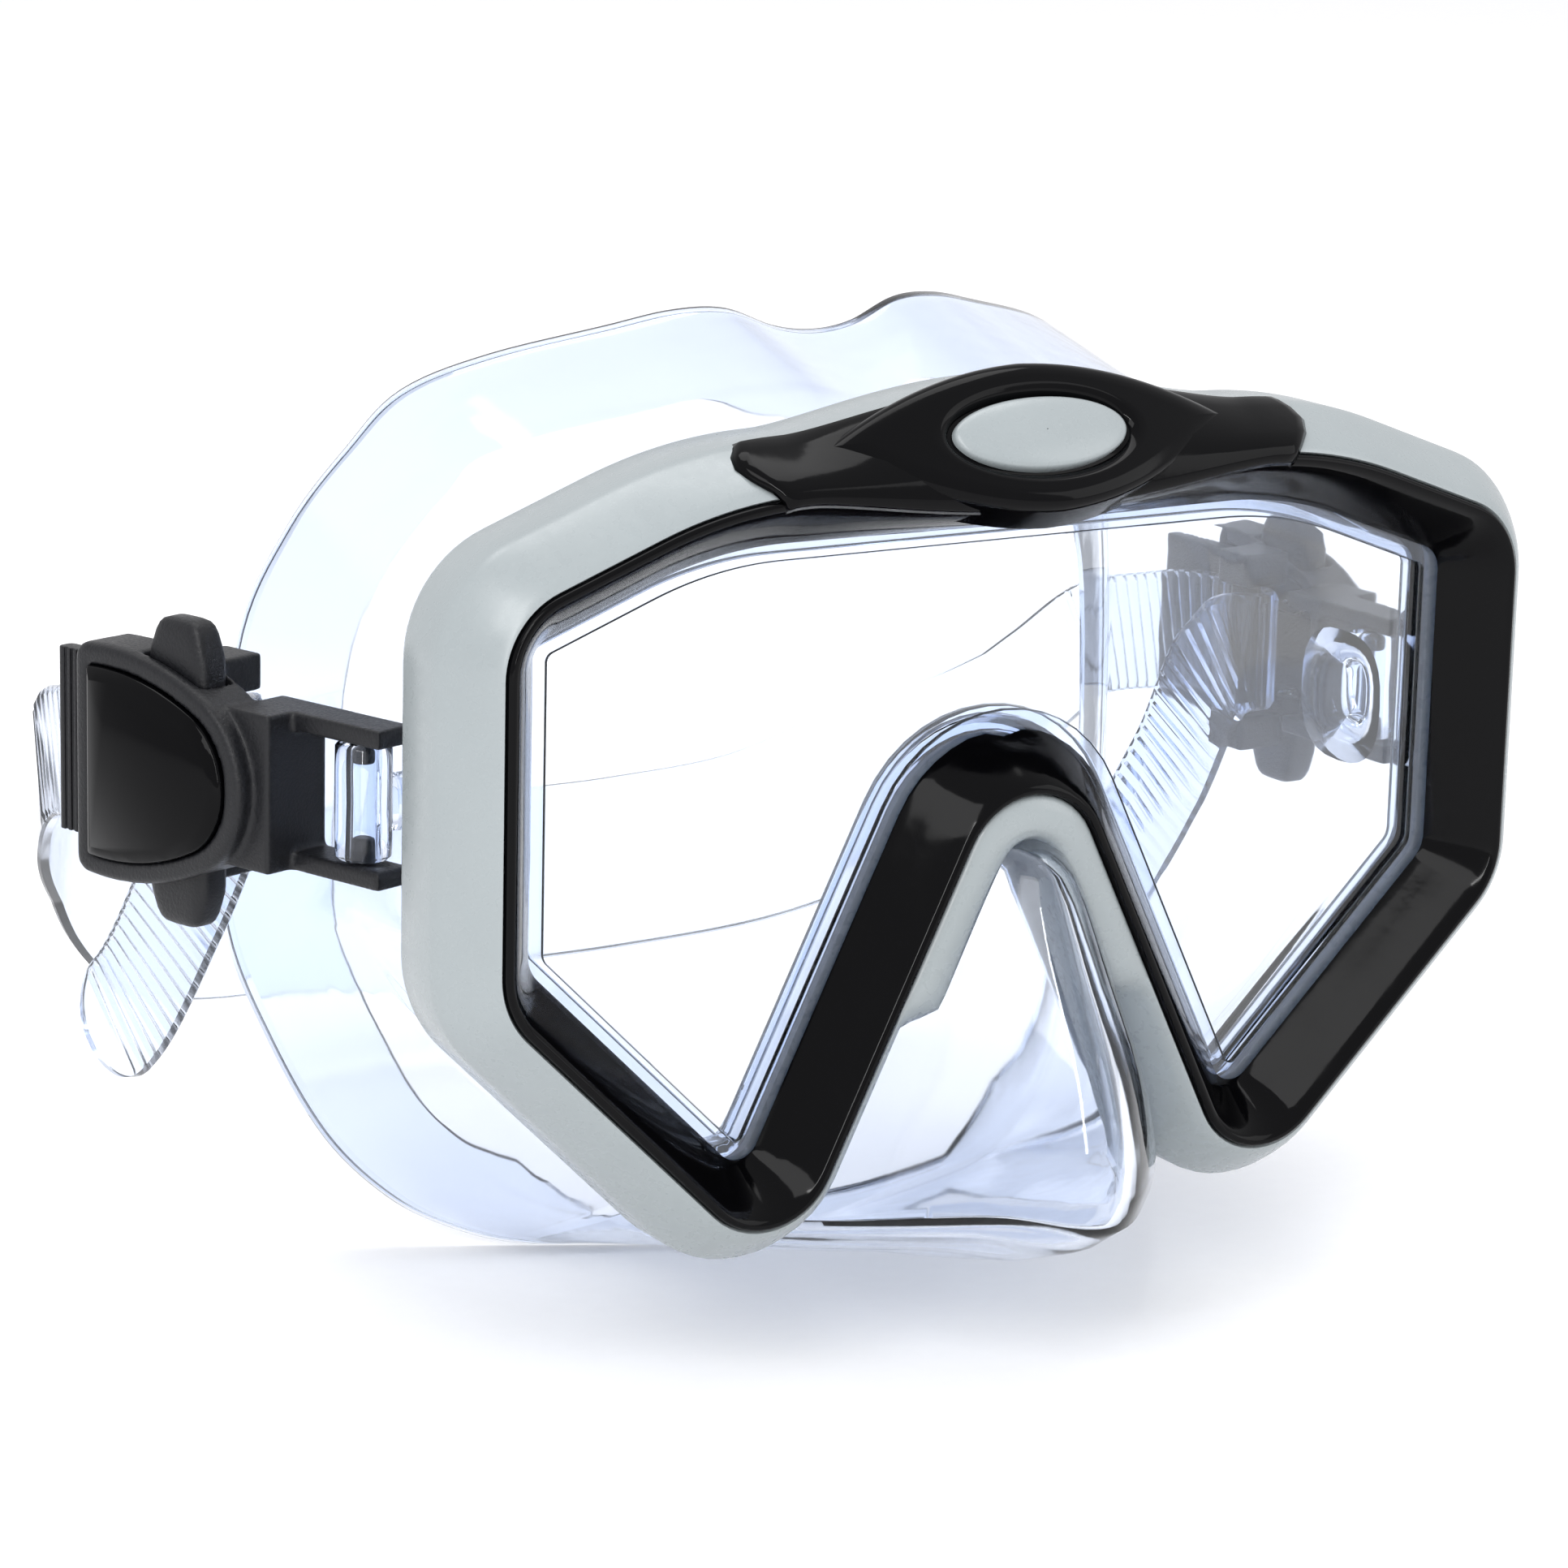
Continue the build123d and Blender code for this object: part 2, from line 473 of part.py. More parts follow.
def buckle_body(place):
    """Shell with its fork, swivel pegs, roller ears and button slots."""
    with BuildPart() as body:
        extrude(shell_outline(place, SHELL_IN, 0), SHELL_OUT - SHELL_IN, dir=place.out)
        outer_face = body.faces().sort_by(Axis(place.origin, place.out))[-1]
        fillet(outer_face.edges(), SHELL_EDGE)
        root = SHELL_FRONT + SHELL_WALL + FORK_ROOT
        base = place.bar((FORK_FRONT, root), (ARM_IN, FORK_OUT), -FORK_HALF)
        extrude(base, 2 * FORK_HALF, dir=UP)
        for z in (ARM_Z, -FORK_HALF):
            extrude(place.bar((-ARM_TIP, root), (ARM_IN, ARM_OUT), z), ARM_THICKNESS, dir=UP)
        well_span = (FORK_FRONT + SHELL_WALL, root + FORK_WELL)
        well = place.bar(well_span, (ARM_IN, FORK_OUT - FORK_WELL), -ARM_Z)
        extrude(well, 2 * ARM_Z, dir=UP, mode=Mode.SUBTRACT)
        cavity = shell_outline(place, SHELL_IN, SHELL_WALL)
        extrude(cavity, CAVITY_OUT - SHELL_IN, dir=place.out, mode=Mode.SUBTRACT)
        below = shell_outline(place, ARM_IN, SHELL_WALL)
        extrude(below, SHELL_IN - ARM_IN, dir=place.out, mode=Mode.SUBTRACT)
        cap_seat = shell_outline(place, CAP_FLOOR, CAP_INSET - CAP_GAP)
        extrude(cap_seat, CAP_SUNK + CUT, dir=place.out, mode=Mode.SUBTRACT)
        ear_span = (ROLLER_S - EAR_HALF, ROLLER_S + EAR_HALF)
        cheek_span = (PAWL_S - CHEEK_FRONT, PAWL_S + CHEEK_REAR)
        cheek_z = PAWL_HALF + CHEEK_GAP
        for up in (-1, 1):
            ear = place.bar(ear_span, (EAR_IN, EAR_OUT), up * EAR_Z)
            extrude(ear, SHELL_HALF - EAR_SHORT - EAR_Z, dir=UP * up)
            journal = place.disc(ROLLER_S, ROLLER_T, up * EAR_Z, JOURNAL_R + JOURNAL_GAP)
            extrude(journal, JOURNAL_LENGTH + END_GAP, dir=UP * up, mode=Mode.SUBTRACT)
            cheek = place.bar(cheek_span, (SHELL_IN + END_GAP, CHEEK_OUT), up * cheek_z)
            extrude(cheek, PIVOT_LENGTH - CHEEK_SHORT, dir=UP * up)
            pivot = place.disc(PAWL_S, PAWL_T, up * PAWL_HALF, PIVOT_R + PIVOT_GAP)
            extrude(pivot, PIVOT_LENGTH + END_GAP, dir=UP * up, mode=Mode.SUBTRACT)
            peg = place.disc(0, 0, up * (ARM_Z + PART_GAP), PEG_R)
            extrude(peg, ARM_GAP + PEG_LENGTH - END_GAP, dir=UP * -up)
            slot = place.bar(
                (BUTTON_SPAN[0] - BUTTON_GAP, BUTTON_SPAN[1] + BUTTON_GAP),
                (BUTTON_BAND[0] - BUTTON_GAP, BUTTON_BAND[1] + BUTTON_GAP),
                up * BUTTON_BASE,
            )
            extrude(slot, SHELL_HALF, dir=UP * up, mode=Mode.SUBTRACT)
        rear_span = (GUIDE_FRONT - GUIDE_GAP, SHELL_REAR + CUT)
        rear = place.bar(rear_span, (SHELL_IN, GUIDE_OUT + GUIDE_GAP), -SHELL_HALF)
        extrude(rear, 2 * SHELL_HALF, dir=UP, mode=Mode.SUBTRACT)
    return body.part


def buckle_cap(place):
    """Glossy domed cover in the outer face of the shell."""
    with BuildPart() as cap:
        seat = shell_outline(place, CAP_FLOOR, CAP_INSET)
        extrude(seat, CAP_SUNK + CAP_PROUD - CAP_DOME, dir=place.out)
        top = SHELL_OUT + CAP_PROUD
        shoulder = shell_outline(place, top - CAP_DOME, CAP_INSET)
        loft([shoulder, shell_outline(place, top, CAP_INSET + 1.5 * CAP_DOME)], ruled=True)
    return cap.part


def release_button(place, up):
    """Push button in the shell's upper or lower wall, held in by its flange."""
    with BuildPart() as button:
        head_height = SHELL_HALF + BUTTON_PROUD - BUTTON_BASE
        stem = place.bar(BUTTON_SPAN, BUTTON_BAND, up * BUTTON_BASE)
        extrude(stem, head_height, dir=UP * up)
        crown = button.faces().sort_by(Axis.Z)[-1 if up > 0 else 0]
        fillet(crown.edges(), BUTTON_EDGE)
        collar = place.bar((BUTTON_S, FLANGE_REAR), BUTTON_BAND, up * BUTTON_BASE)
        extrude(collar, FLANGE_THICKNESS, dir=UP * up)
    return button.part


def button_spring(place):
    """Coil between the two buttons."""
    length = 2 * (BUTTON_BASE - SPRING_WIRE - 0.05)
    foot = place.point(BUTTON_S, SPRING_T, -length / 2)
    with BuildPart() as spring:
        with BuildLine(Plane(foot, x_dir=place.along, z_dir=UP)) as coil:
            Helix(SPRING_PITCH, length, SPRING_R)
        with BuildSketch(Plane(coil.line @ 0, z_dir=coil.line % 0)):
            Circle(SPRING_WIRE)
        sweep(is_frenet=True)
    return spring.part


def strap_roller(place):
    """Bar that the strap turns round, on two journals."""
    with BuildPart() as roller:
        half = EAR_Z - ROLLER_GAP
        extrude(place.disc(ROLLER_S, ROLLER_T, -half, ROLLER_R), 2 * half, dir=UP)
        reach = half + JOURNAL_LENGTH
        extrude(place.disc(ROLLER_S, ROLLER_T, -reach, JOURNAL_R), 2 * reach, dir=UP)
    return roller.part


def lock_pawl(place):
    """Toothed lever that holds the ribs of the strap against the roller."""
    lower = PAWL_T - PAWL_R
    with BuildPart() as pawl:
        extrude(place.disc(PAWL_S, PAWL_T, -PAWL_HALF, PAWL_R), 2 * PAWL_HALF, dir=UP)
        reach = PAWL_HALF + PIVOT_LENGTH
        extrude(place.disc(PAWL_S, PAWL_T, -reach, PIVOT_R), 2 * reach, dir=UP)
        plate = place.bar((PAWL_S, PAWL_TIP), (lower, lower + PAWL_THICKNESS), -PAWL_HALF)
        extrude(plate, 2 * PAWL_HALF, dir=UP)
        for i in range(TEETH):
            tip = PAWL_TIP - TOOTH - TOOTH_STEP * i
            with BuildSketch(place.level(-PAWL_HALF)):
                with BuildLine():
                    Polyline(
                        (tip - TOOTH, -place.sign * (lower + PART_GAP)),
                        (tip, -place.sign * (lower - TOOTH)),
                        (tip + TOOTH, -place.sign * (lower + PART_GAP)),
                        close=True,
                    )
                make_face()
            extrude(amount=2 * PAWL_HALF, dir=UP)
    return pawl.part


def strap_guide(place):
    """Ribbed plate behind the shell that covers the strap's turn."""
    with BuildPart() as guide:
        band = (SHELL_IN + GUIDE_GAP, GUIDE_OUT)
        extrude(place.bar((GUIDE_FRONT, GUIDE_REAR), band, -GUIDE_HALF), 2 * GUIDE_HALF, dir=UP)
        upright = guide.edges().filter_by(Axis.Z)
        fillet(upright.sort_by(Axis(place.origin, place.along))[-2:], GUIDE_CORNER)
        hook_rear = SHELL_REAR - SHELL_WALL - GUIDE_GAP
        hook_band = (GUIDE_OUT, GUIDE_OUT + HOOK_HEIGHT)
        extrude(place.bar((GUIDE_FRONT, hook_rear), hook_band, -HOOK_HALF), 2 * HOOK_HALF, dir=UP)
        first = SHELL_REAR + GUIDE_EDGE
        step = (GUIDE_REAR - GUIDE_EDGE - first) / (GUIDE_RIBS - 1)
        for i in range(GUIDE_RIBS):
            groove = first + i * step
            groove_span = (groove - GROOVE_WIDTH / 2, groove + GROOVE_WIDTH / 2)
            cut = place.bar(groove_span, (GUIDE_OUT - GROOVE_DEPTH, GUIDE_OUT + CUT), -GUIDE_HALF)
            extrude(cut, 2 * GUIDE_HALF, dir=UP, mode=Mode.SUBTRACT)
    return guide.part


SIDES = (Side("left", -1, LEFT_SPLAY), Side("right", 1, RIGHT_SPLAY))
for place in SIDES:
    pieces = {
        "buckle_body": buckle_body(place),
        "buckle_cap": buckle_cap(place),
        "upper_button": release_button(place, 1),
        "lower_button": release_button(place, -1),
        "button_spring": button_spring(place),
        "strap_roller": strap_roller(place),
        "lock_pawl": lock_pawl(place),
        "strap_guide": strap_guide(place),
    }
    for name, piece in pieces.items():
        piece.label = f"{place.name}_{name}"
        export_step(piece, f"parts/{place.name}_{name}.step")


# ------------------------------------------------------------------------ strap
def strap_runs(place, arm):
    """Plan points of one strap end: tail, turn round the roller, and arm."""
    front = ROLLER_S - TURN_R
    return [
        place.point(TAIL_RUN, ROLLER_T - TURN_R),
        place.point(front, ROLLER_T - TURN_R),
        place.point(front, ROLLER_T + TURN_R),
        place.point(arm, ROLLER_T + TURN_R),
    ]


with BuildPart() as strap:
    left_run, right_run = strap_runs(SIDES[0], LEFT_ARM), strap_runs(SIDES[1], RIGHT_ARM)
    rear = RIDGE_Y + BAND_REAR
    band = [Vector(-BAND_HALF - BAND_SKEW, rear), Vector(BAND_HALF, rear)]
    route = [(p.X, p.Y) for p in left_run + band + right_run[::-1]]
    half_turns = [TURN_R, TURN_R * 0.999]
    bends = [ARM_BEND, BAND_BEND, BAND_BEND, ARM_BEND]
    with BuildSketch(Plane.XY.offset(HINGE_Z - 2 * BAND_WIDTH)):
        with BuildLine():
            FilletPolyline(*route, radius=half_turns + bends + half_turns[::-1])
        trace(line_width=STRAP_THICKNESS)
    extrude(amount=4 * BAND_WIDTH)
    low = HINGE_Z - BAND_DROP
    with BuildSketch(Plane.YZ):
        with BuildLine():
            arm, half = STRAP_WIDTH / 2, BAND_WIDTH / 2
            start, end = RIDGE_Y + DROP_START, RIDGE_Y + DROP_END
            Polyline(
                (RIDGE_Y, HINGE_Z - arm),
                (start, HINGE_Z - arm),
                (end, low - half),
                (rear + half, low - half),
                (rear + half, low + half),
                (end, low + half),
                (start, HINGE_Z + arm),
                (RIDGE_Y, HINGE_Z + arm),
                close=True,
            )
        make_face()
    extrude(amount=3 * HINGE_X, both=True, mode=Mode.INTERSECT)
strap.part.label = "strap"
export_step(strap.part, "parts/strap.step")
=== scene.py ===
# %% [markdown]
# # A diving mask, from CAD frame to finished surfaces
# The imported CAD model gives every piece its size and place. This lesson keeps that frame and
# builds the looks round it: rounded mouldings, a thin clear skirt, a ribbed strap, and materials.

# %% Load the frame
from math import acos, cos, pi, radians, sin

import bmesh
import bpy
import numpy as np
from mathutils import Matrix, Vector


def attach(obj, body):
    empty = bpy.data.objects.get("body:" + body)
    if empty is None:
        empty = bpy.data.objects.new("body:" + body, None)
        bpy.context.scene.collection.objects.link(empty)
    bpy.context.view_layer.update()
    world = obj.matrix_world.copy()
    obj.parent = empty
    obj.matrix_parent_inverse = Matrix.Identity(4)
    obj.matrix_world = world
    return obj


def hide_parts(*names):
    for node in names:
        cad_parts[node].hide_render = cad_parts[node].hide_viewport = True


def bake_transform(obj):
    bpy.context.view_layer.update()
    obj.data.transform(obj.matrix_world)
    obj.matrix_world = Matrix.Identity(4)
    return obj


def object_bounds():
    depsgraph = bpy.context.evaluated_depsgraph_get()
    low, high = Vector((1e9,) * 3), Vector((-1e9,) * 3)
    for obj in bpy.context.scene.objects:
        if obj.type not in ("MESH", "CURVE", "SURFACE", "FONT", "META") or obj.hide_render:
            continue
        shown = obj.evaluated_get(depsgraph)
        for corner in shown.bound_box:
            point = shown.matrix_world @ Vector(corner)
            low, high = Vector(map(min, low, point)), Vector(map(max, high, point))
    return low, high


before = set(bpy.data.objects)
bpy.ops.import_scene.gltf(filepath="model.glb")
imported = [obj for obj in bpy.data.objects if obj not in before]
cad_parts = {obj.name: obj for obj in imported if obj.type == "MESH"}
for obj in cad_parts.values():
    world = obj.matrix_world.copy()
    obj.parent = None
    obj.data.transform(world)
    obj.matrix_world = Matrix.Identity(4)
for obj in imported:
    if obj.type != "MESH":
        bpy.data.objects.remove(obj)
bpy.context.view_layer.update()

# %% [markdown]
# ## Camera
# A product shot is taken from a little above and to one side with a long lens, so the mask is
# seen almost without perspective. The angles below are azimuth, elevation and roll.

# %% Place the camera
MM = 0.001
AZIMUTH, ELEVATION, ROLL = radians(-31.6), radians(13.9), radians(1.4)
TARGET = Vector((-0.0372, -0.056, 0.0))
DISTANCE = 0.65

camera = bpy.data.objects.new("camera", bpy.data.cameras.new("camera"))
bpy.context.scene.collection.objects.link(camera)
camera.data.sensor_width, camera.data.lens = 36.0, 122.9
backward = Vector((sin(AZIMUTH) * cos(ELEVATION), -cos(AZIMUTH) * cos(ELEVATION), sin(ELEVATION)))
camera.rotation_mode = "QUATERNION"
camera.location = TARGET + backward * DISTANCE
look = (-backward).to_track_quat("-Z", "Y")
camera.rotation_quaternion = look @ Matrix.Rotation(ROLL, 3, "Z").to_quaternion()
bpy.context.scene.camera = camera
print("camera at", tuple(round(c, 3) for c in camera.location))

# %% [markdown]
# ## Colours and nodes
# Paint charts and screens give colours as sRGB hex, while Blender's shaders work with linear
# light. One function converts them, and one adds a node with its settings and links.

# %% Colour and node helpers
def linear(hex_colour):
    """An sRGB hex colour as linear RGBA."""
    channels = [int(hex_colour[i:i + 2], 16) / 255 for i in (1, 3, 5)]
    return [c / 12.92 if c <= 0.04045 else ((c + 0.055) / 1.055) ** 2.4 for c in channels] + [1.0]


def node(tree, kind, settings=None, **inputs):
    """Adds a node. Settings are its properties; inputs are values or sockets, by socket name."""
    made = tree.nodes.new(kind)
    for key, value in (settings or {}).items():
        setattr(made, key, value)
    for key, value in inputs.items():
        socket = made.inputs[int(key[1:]) if key[1:].isdigit() else key.replace("_", " ")]
        if isinstance(value, bpy.types.NodeSocket):
            tree.links.new(value, socket)
        else:
            socket.default_value = value
    return made


def new_material(name):
    """An empty node material and its tree with an output."""
    material = bpy.data.materials.new(name)
    material.use_nodes = True
    material.node_tree.nodes.clear()
    return material, material.node_tree

# %% [markdown]
# ## Gloss-black polycarbonate
# The bezel, the brow piece and the buckle caps are injection-moulded and polished. The real
# surface is not perfectly flat: a faint orange peel about 2 mm wide bends the highlights, and
# handling leaves fine dust and smears that only change the roughness.

# %% Gloss-black polycarbonate
def gloss_plastic(name, hex_colour, roughness, peel_mm, peel_depth_mm, haze):
    """Polished moulded plastic: orange peel in the bump, haze in the roughness."""
    material, tree = new_material(name)
    place = node(tree, "ShaderNodeTexCoord").outputs["Object"]
    peel = node(tree, "ShaderNodeTexNoise", Vector=place, Scale=1 / (peel_mm * MM), Detail=1.5)
    smear = node(tree, "ShaderNodeTexNoise", Vector=place, Scale=1 / (9 * MM), Detail=5.0)
    rough = node(tree, "ShaderNodeMapRange", Value=smear.outputs["Fac"], _1=0.35, _2=0.7,
                 _3=roughness, _4=roughness + haze)
    bump = node(tree, "ShaderNodeBump", Height=peel.outputs["Fac"], Strength=0.35,
                Distance=peel_depth_mm * MM)
    shade = node(tree, "ShaderNodeTexNoise", Vector=place, Scale=1 / (0.35 * MM), Detail=2.0)
    tint = node(tree, "ShaderNodeMix", {"data_type": "RGBA"}, Factor=shade.outputs["Fac"],
                _6=linear(hex_colour), _7=[c * 1.35 for c in linear(hex_colour)[:3]] + [1])
    shell = node(tree, "ShaderNodeBsdfPrincipled", Base_Color=tint.outputs[2], Specular_IOR_Level=0.08,
                 Roughness=rough.outputs["Result"], IOR=1.58, Normal=bump.outputs["Normal"])
    node(tree, "ShaderNodeOutputMaterial", Surface=shell.outputs["BSDF"])
    return material


gloss_black = gloss_plastic("moulded_gloss_black_polycarbonate", "#030304", 0.05, 2.2, 0.03, 0.08)
cap_black = gloss_plastic("polished_black_acrylic", "#020203", 0.04, 3.0, 0.02, 0.06)
print("made", gloss_black.name, "and", cap_black.name)

# %% [markdown]
# ## Grey satin ABS
# The outer frame and the badge are a cool, neutral grey ABS. Its pigment is not quite
# even: fine pearl flakes a third of a millimetre wide make it sparkle faintly.

# %% Grey satin ABS
grey_abs, tree = new_material("moulded_grey_abs")
place = node(tree, "ShaderNodeTexCoord").outputs["Object"]
flake = node(tree, "ShaderNodeTexVoronoi", Vector=place, Scale=1 / (0.3 * MM))
cloud = node(tree, "ShaderNodeTexNoise", Vector=place, Scale=1 / (14 * MM), Detail=3.0)
pigment = node(tree, "ShaderNodeMix", {"data_type": "RGBA"}, Factor=cloud.outputs["Fac"],
               _6=linear("#8A9193"), _7=linear("#92999B"))
pearl = node(tree, "ShaderNodeMapRange", Value=flake.outputs["Color"], _1=0.8, _2=1.0, _3=0.0, _4=0.025)
sparkle = node(tree, "ShaderNodeMix", {"data_type": "RGBA"}, Factor=pearl.outputs["Result"],
               _6=pigment.outputs[2], _7=linear("#F2F5EE"))
grain = node(tree, "ShaderNodeTexNoise", Vector=place, Scale=1 / (1.6 * MM), Detail=2.0)
relief = node(tree, "ShaderNodeBump", Height=grain.outputs["Fac"], Strength=0.3, Distance=0.03 * MM)
satin = node(tree, "ShaderNodeMapRange", Value=grain.outputs["Fac"], _1=0.3, _2=0.7, _3=0.24, _4=0.34)
body = node(tree, "ShaderNodeBsdfPrincipled", Base_Color=sparkle.outputs[2], IOR=1.54,
            Roughness=satin.outputs["Result"], Normal=relief.outputs["Normal"])
node(tree, "ShaderNodeOutputMaterial", Surface=body.outputs["BSDF"])
print("made", grey_abs.name)

# %% [markdown]
# ## Spark-textured acetal
# The buckle bodies come from a spark-eroded mould, which leaves a fine even grain that scatters
# the light. The grain is about 0.25 mm; it is drawn at 0.4 mm, so that it shows.

# %% Spark-textured acetal
spark_acetal, tree = new_material("spark_textured_black_acetal")
place = node(tree, "ShaderNodeTexCoord").outputs["Object"]
spark = node(tree, "ShaderNodeTexNoise", Vector=place, Scale=1 / (0.4 * MM), Detail=3.0, Roughness=0.6)
pits = node(tree, "ShaderNodeBump", Height=spark.outputs["Fac"], Strength=0.9, Distance=0.09 * MM)
worn = node(tree, "ShaderNodeMix", {"data_type": "RGBA"}, Factor=spark.outputs["Fac"],
            _6=linear("#0B0B0D"), _7=linear("#1B1C20"))
dull = node(tree, "ShaderNodeMapRange", Value=spark.outputs["Fac"], _1=0.3, _2=0.7, _3=0.34, _4=0.5)
acetal = node(tree, "ShaderNodeBsdfPrincipled", Base_Color=worn.outputs[2], IOR=1.48,
              Specular_IOR_Level=0.3, Roughness=dull.outputs["Result"], Normal=pits.outputs["Normal"])
node(tree, "ShaderNodeOutputMaterial", Surface=acetal.outputs["BSDF"])
print("made", spark_acetal.name)

# %% [markdown]
# ## Clear PVC
# The skirt and strap are soft clear PVC with a trace of blue toner that hides its yellow. A thin
# wall looks colourless and an edge, where the light travels far, looks blue. Transmission with
# a tinted base colour does that, because each pass through a surface takes a little red away.

# %% Clear PVC
def clear_pvc(name, hex_colour, roughness):
    """Soft clear vinyl: refraction, slow waves in the surface and a faint haze."""
    material, tree = new_material(name)
    place = node(tree, "ShaderNodeTexCoord").outputs["Object"]
    wave = node(tree, "ShaderNodeTexNoise", Vector=place, Scale=1 / (12 * MM), Detail=2.0)
    bump = node(tree, "ShaderNodeBump", Height=wave.outputs["Fac"], Strength=0.25, Distance=0.25 * MM)
    haze = node(tree, "ShaderNodeMapRange", Value=wave.outputs["Fac"], _1=0.3, _2=0.7,
                _3=roughness, _4=roughness + 0.04)
    vinyl = node(tree, "ShaderNodeBsdfPrincipled", Base_Color=linear(hex_colour), IOR=1.38,
                 Transmission_Weight=1.0, Roughness=haze.outputs["Result"],
                 Normal=bump.outputs["Normal"])
    node(tree, "ShaderNodeOutputMaterial", Surface=vinyl.outputs["BSDF"])
    return material


skirt_pvc = clear_pvc("clear_skirt_pvc", "#EDF3FE", 0.03)
strap_pvc = clear_pvc("clear_strap_pvc", "#E4ECFB", 0.12)
print("made", skirt_pvc.name, "and", strap_pvc.name)

# %% Tempered glass and spring steel
tempered_glass, tree = new_material("tempered_glass")
place = node(tree, "ShaderNodeTexCoord").outputs["Object"]
wipe = node(tree, "ShaderNodeTexNoise", Vector=place, Scale=1 / (25 * MM), Detail=4.0)
clean = node(tree, "ShaderNodeMapRange", Value=wipe.outputs["Fac"], _1=0.4, _2=0.8, _3=0.0, _4=0.015)
pane = node(tree, "ShaderNodeBsdfPrincipled", Base_Color=linear("#FBFDFF"), IOR=1.45,
            Transmission_Weight=1.0, Roughness=clean.outputs["Result"])
node(tree, "ShaderNodeOutputMaterial", Surface=pane.outputs["BSDF"])

spring_steel, tree = new_material("drawn_spring_steel")
place = node(tree, "ShaderNodeTexCoord").outputs["Object"]
drawn = node(tree, "ShaderNodeTexNoise", Vector=place, Scale=1 / (0.2 * MM), Detail=2.0)
streak = node(tree, "ShaderNodeMapRange", Value=drawn.outputs["Fac"], _1=0.3, _2=0.7, _3=0.2, _4=0.38)
wire = node(tree, "ShaderNodeBsdfPrincipled", Base_Color=linear("#B9B8B4"), Metallic=1.0,
            Roughness=streak.outputs["Result"])
node(tree, "ShaderNodeOutputMaterial", Surface=wire.outputs["BSDF"])
print("made", tempered_glass.name, "and", spring_steel.name)

# %% [markdown]
# ## Meshes from rings
# Every moulding here follows the outline of the frame. The helpers below turn rows of points in
# millimetres into a mesh in metres, and give a piece its material.

# %% Mesh helpers
def grid_faces(rows, columns, close_rows=False, close_columns=False):
    """Quads between neighbouring rows and columns of a grid of points."""
    faces = []
    for r in range(rows - (0 if close_rows else 1)):
        for c in range(columns - (0 if close_columns else 1)):
            a, b = (r + 1) % rows, (c + 1) % columns
            faces.append((r * columns + c, r * columns + b, a * columns + b, a * columns + c))
    return faces


def piece(name, points_mm, faces, material, smooth_angle=40):
    """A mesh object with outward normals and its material."""
    mesh = bpy.data.meshes.new(name)
    mesh.from_pydata((np.asarray(points_mm, float) * MM).tolist(), [], [list(f) for f in faces])
    work = bmesh.new()
    work.from_mesh(mesh)
    bmesh.ops.recalc_face_normals(work, faces=work.faces)
    work.to_mesh(mesh)
    work.free()
    made = bpy.data.objects.new(name, mesh)
    bpy.context.scene.collection.objects.link(made)
    mesh.materials.append(material)
    for polygon in mesh.polygons:
        polygon.use_smooth = True
    mesh.set_sharp_from_angle(angle=radians(smooth_angle))
    return made


def ring(name, outline_points, outline_normals, section, material, smooth_angle=40):
    """A section of (grow, y) points swept round a closed outline."""
    rows = []
    for grow, y in section:
        flat = outline_points + outline_normals * grow
        rows.append(np.column_stack([flat[:, 0], np.full(len(flat), y), flat[:, 1]]))
    points = np.concatenate(rows)
    faces = grid_faces(len(section), len(outline_points), True, True)
    return piece(name, points, faces, material, smooth_angle)

# %% [markdown]
# ## The outline of the frame
# The ridge line of the frame is a nine-sided polygon with rounded corners and a notch for the
# nose. Its points carry their outward normals, so that any parallel line, such as the edge of
# the glass or the rim of the frame, is the same outline grown by some millimetres.

# %% Outline of the ridge
def rounded_outline(corners, radii, step=2.0, arc_steps=14):
    """Points and outward normals of a clockwise polygon with rounded corners."""
    corners = np.array(corners, float)
    count = len(corners)
    points, normals = [], []
    for i in range(count):
        before, here, after = corners[i - 1], corners[i], corners[(i + 1) % count]
        d1 = (here - before) / np.linalg.norm(here - before)
        d2 = (after - here) / np.linalg.norm(after - here)
        turn = acos(np.clip(d1 @ d2, -1, 1))
        bend = 1 if d1[0] * d2[1] - d1[1] * d2[0] < 0 else -1
        n1, n2 = np.array([-d1[1], d1[0]]), np.array([-d2[1], d2[0]])
        start = here - d1 * radii[i] * np.tan(turn / 2)
        centre = start - bend * n1 * radii[i]
        for k in range(arc_steps + 1):
            a = k / arc_steps
            n = (sin((1 - a) * turn) * n1 + sin(a * turn) * n2) / sin(turn)
            points.append(centre + bend * n * radii[i])
            normals.append(n)
        end = here + d2 * radii[i] * np.tan(turn / 2)
        turn_after = acos(np.clip(d2 @ _direction(corners, i + 1), -1, 1))
        stop = after - d2 * radii[(i + 1) % count] * np.tan(turn_after / 2)
        runs = max(int(np.linalg.norm(stop - end) / step), 1)
        for k in range(1, runs):
            points.append(end + (stop - end) * k / runs)
            normals.append(n2)
    return np.array(points), np.array(normals)


def _direction(corners, i):
    """Unit direction from corner i to the next."""
    step = corners[(i + 1) % len(corners)] - corners[i % len(corners)]
    return step / np.linalg.norm(step)


RIDGE_HALF = [(44.0, 34.5), (74.5, 23.0), (74.5, -24.5), (35.2, -63.1)]
RIDGE_CORNERS = RIDGE_HALF + [(0.0, 8.6)] + [(-x, z) for x, z in reversed(RIDGE_HALF)]
RIDGE_RADII = [60.0, 10.0, 11.0, 9.6, 10.7, 9.6, 11.0, 10.0, 60.0]
ridge, outward = rounded_outline(RIDGE_CORNERS, RIDGE_RADII)
print("ridge line:", len(ridge), "points,", round(np.ptp(ridge[:, 0]), 1), "mm wide")

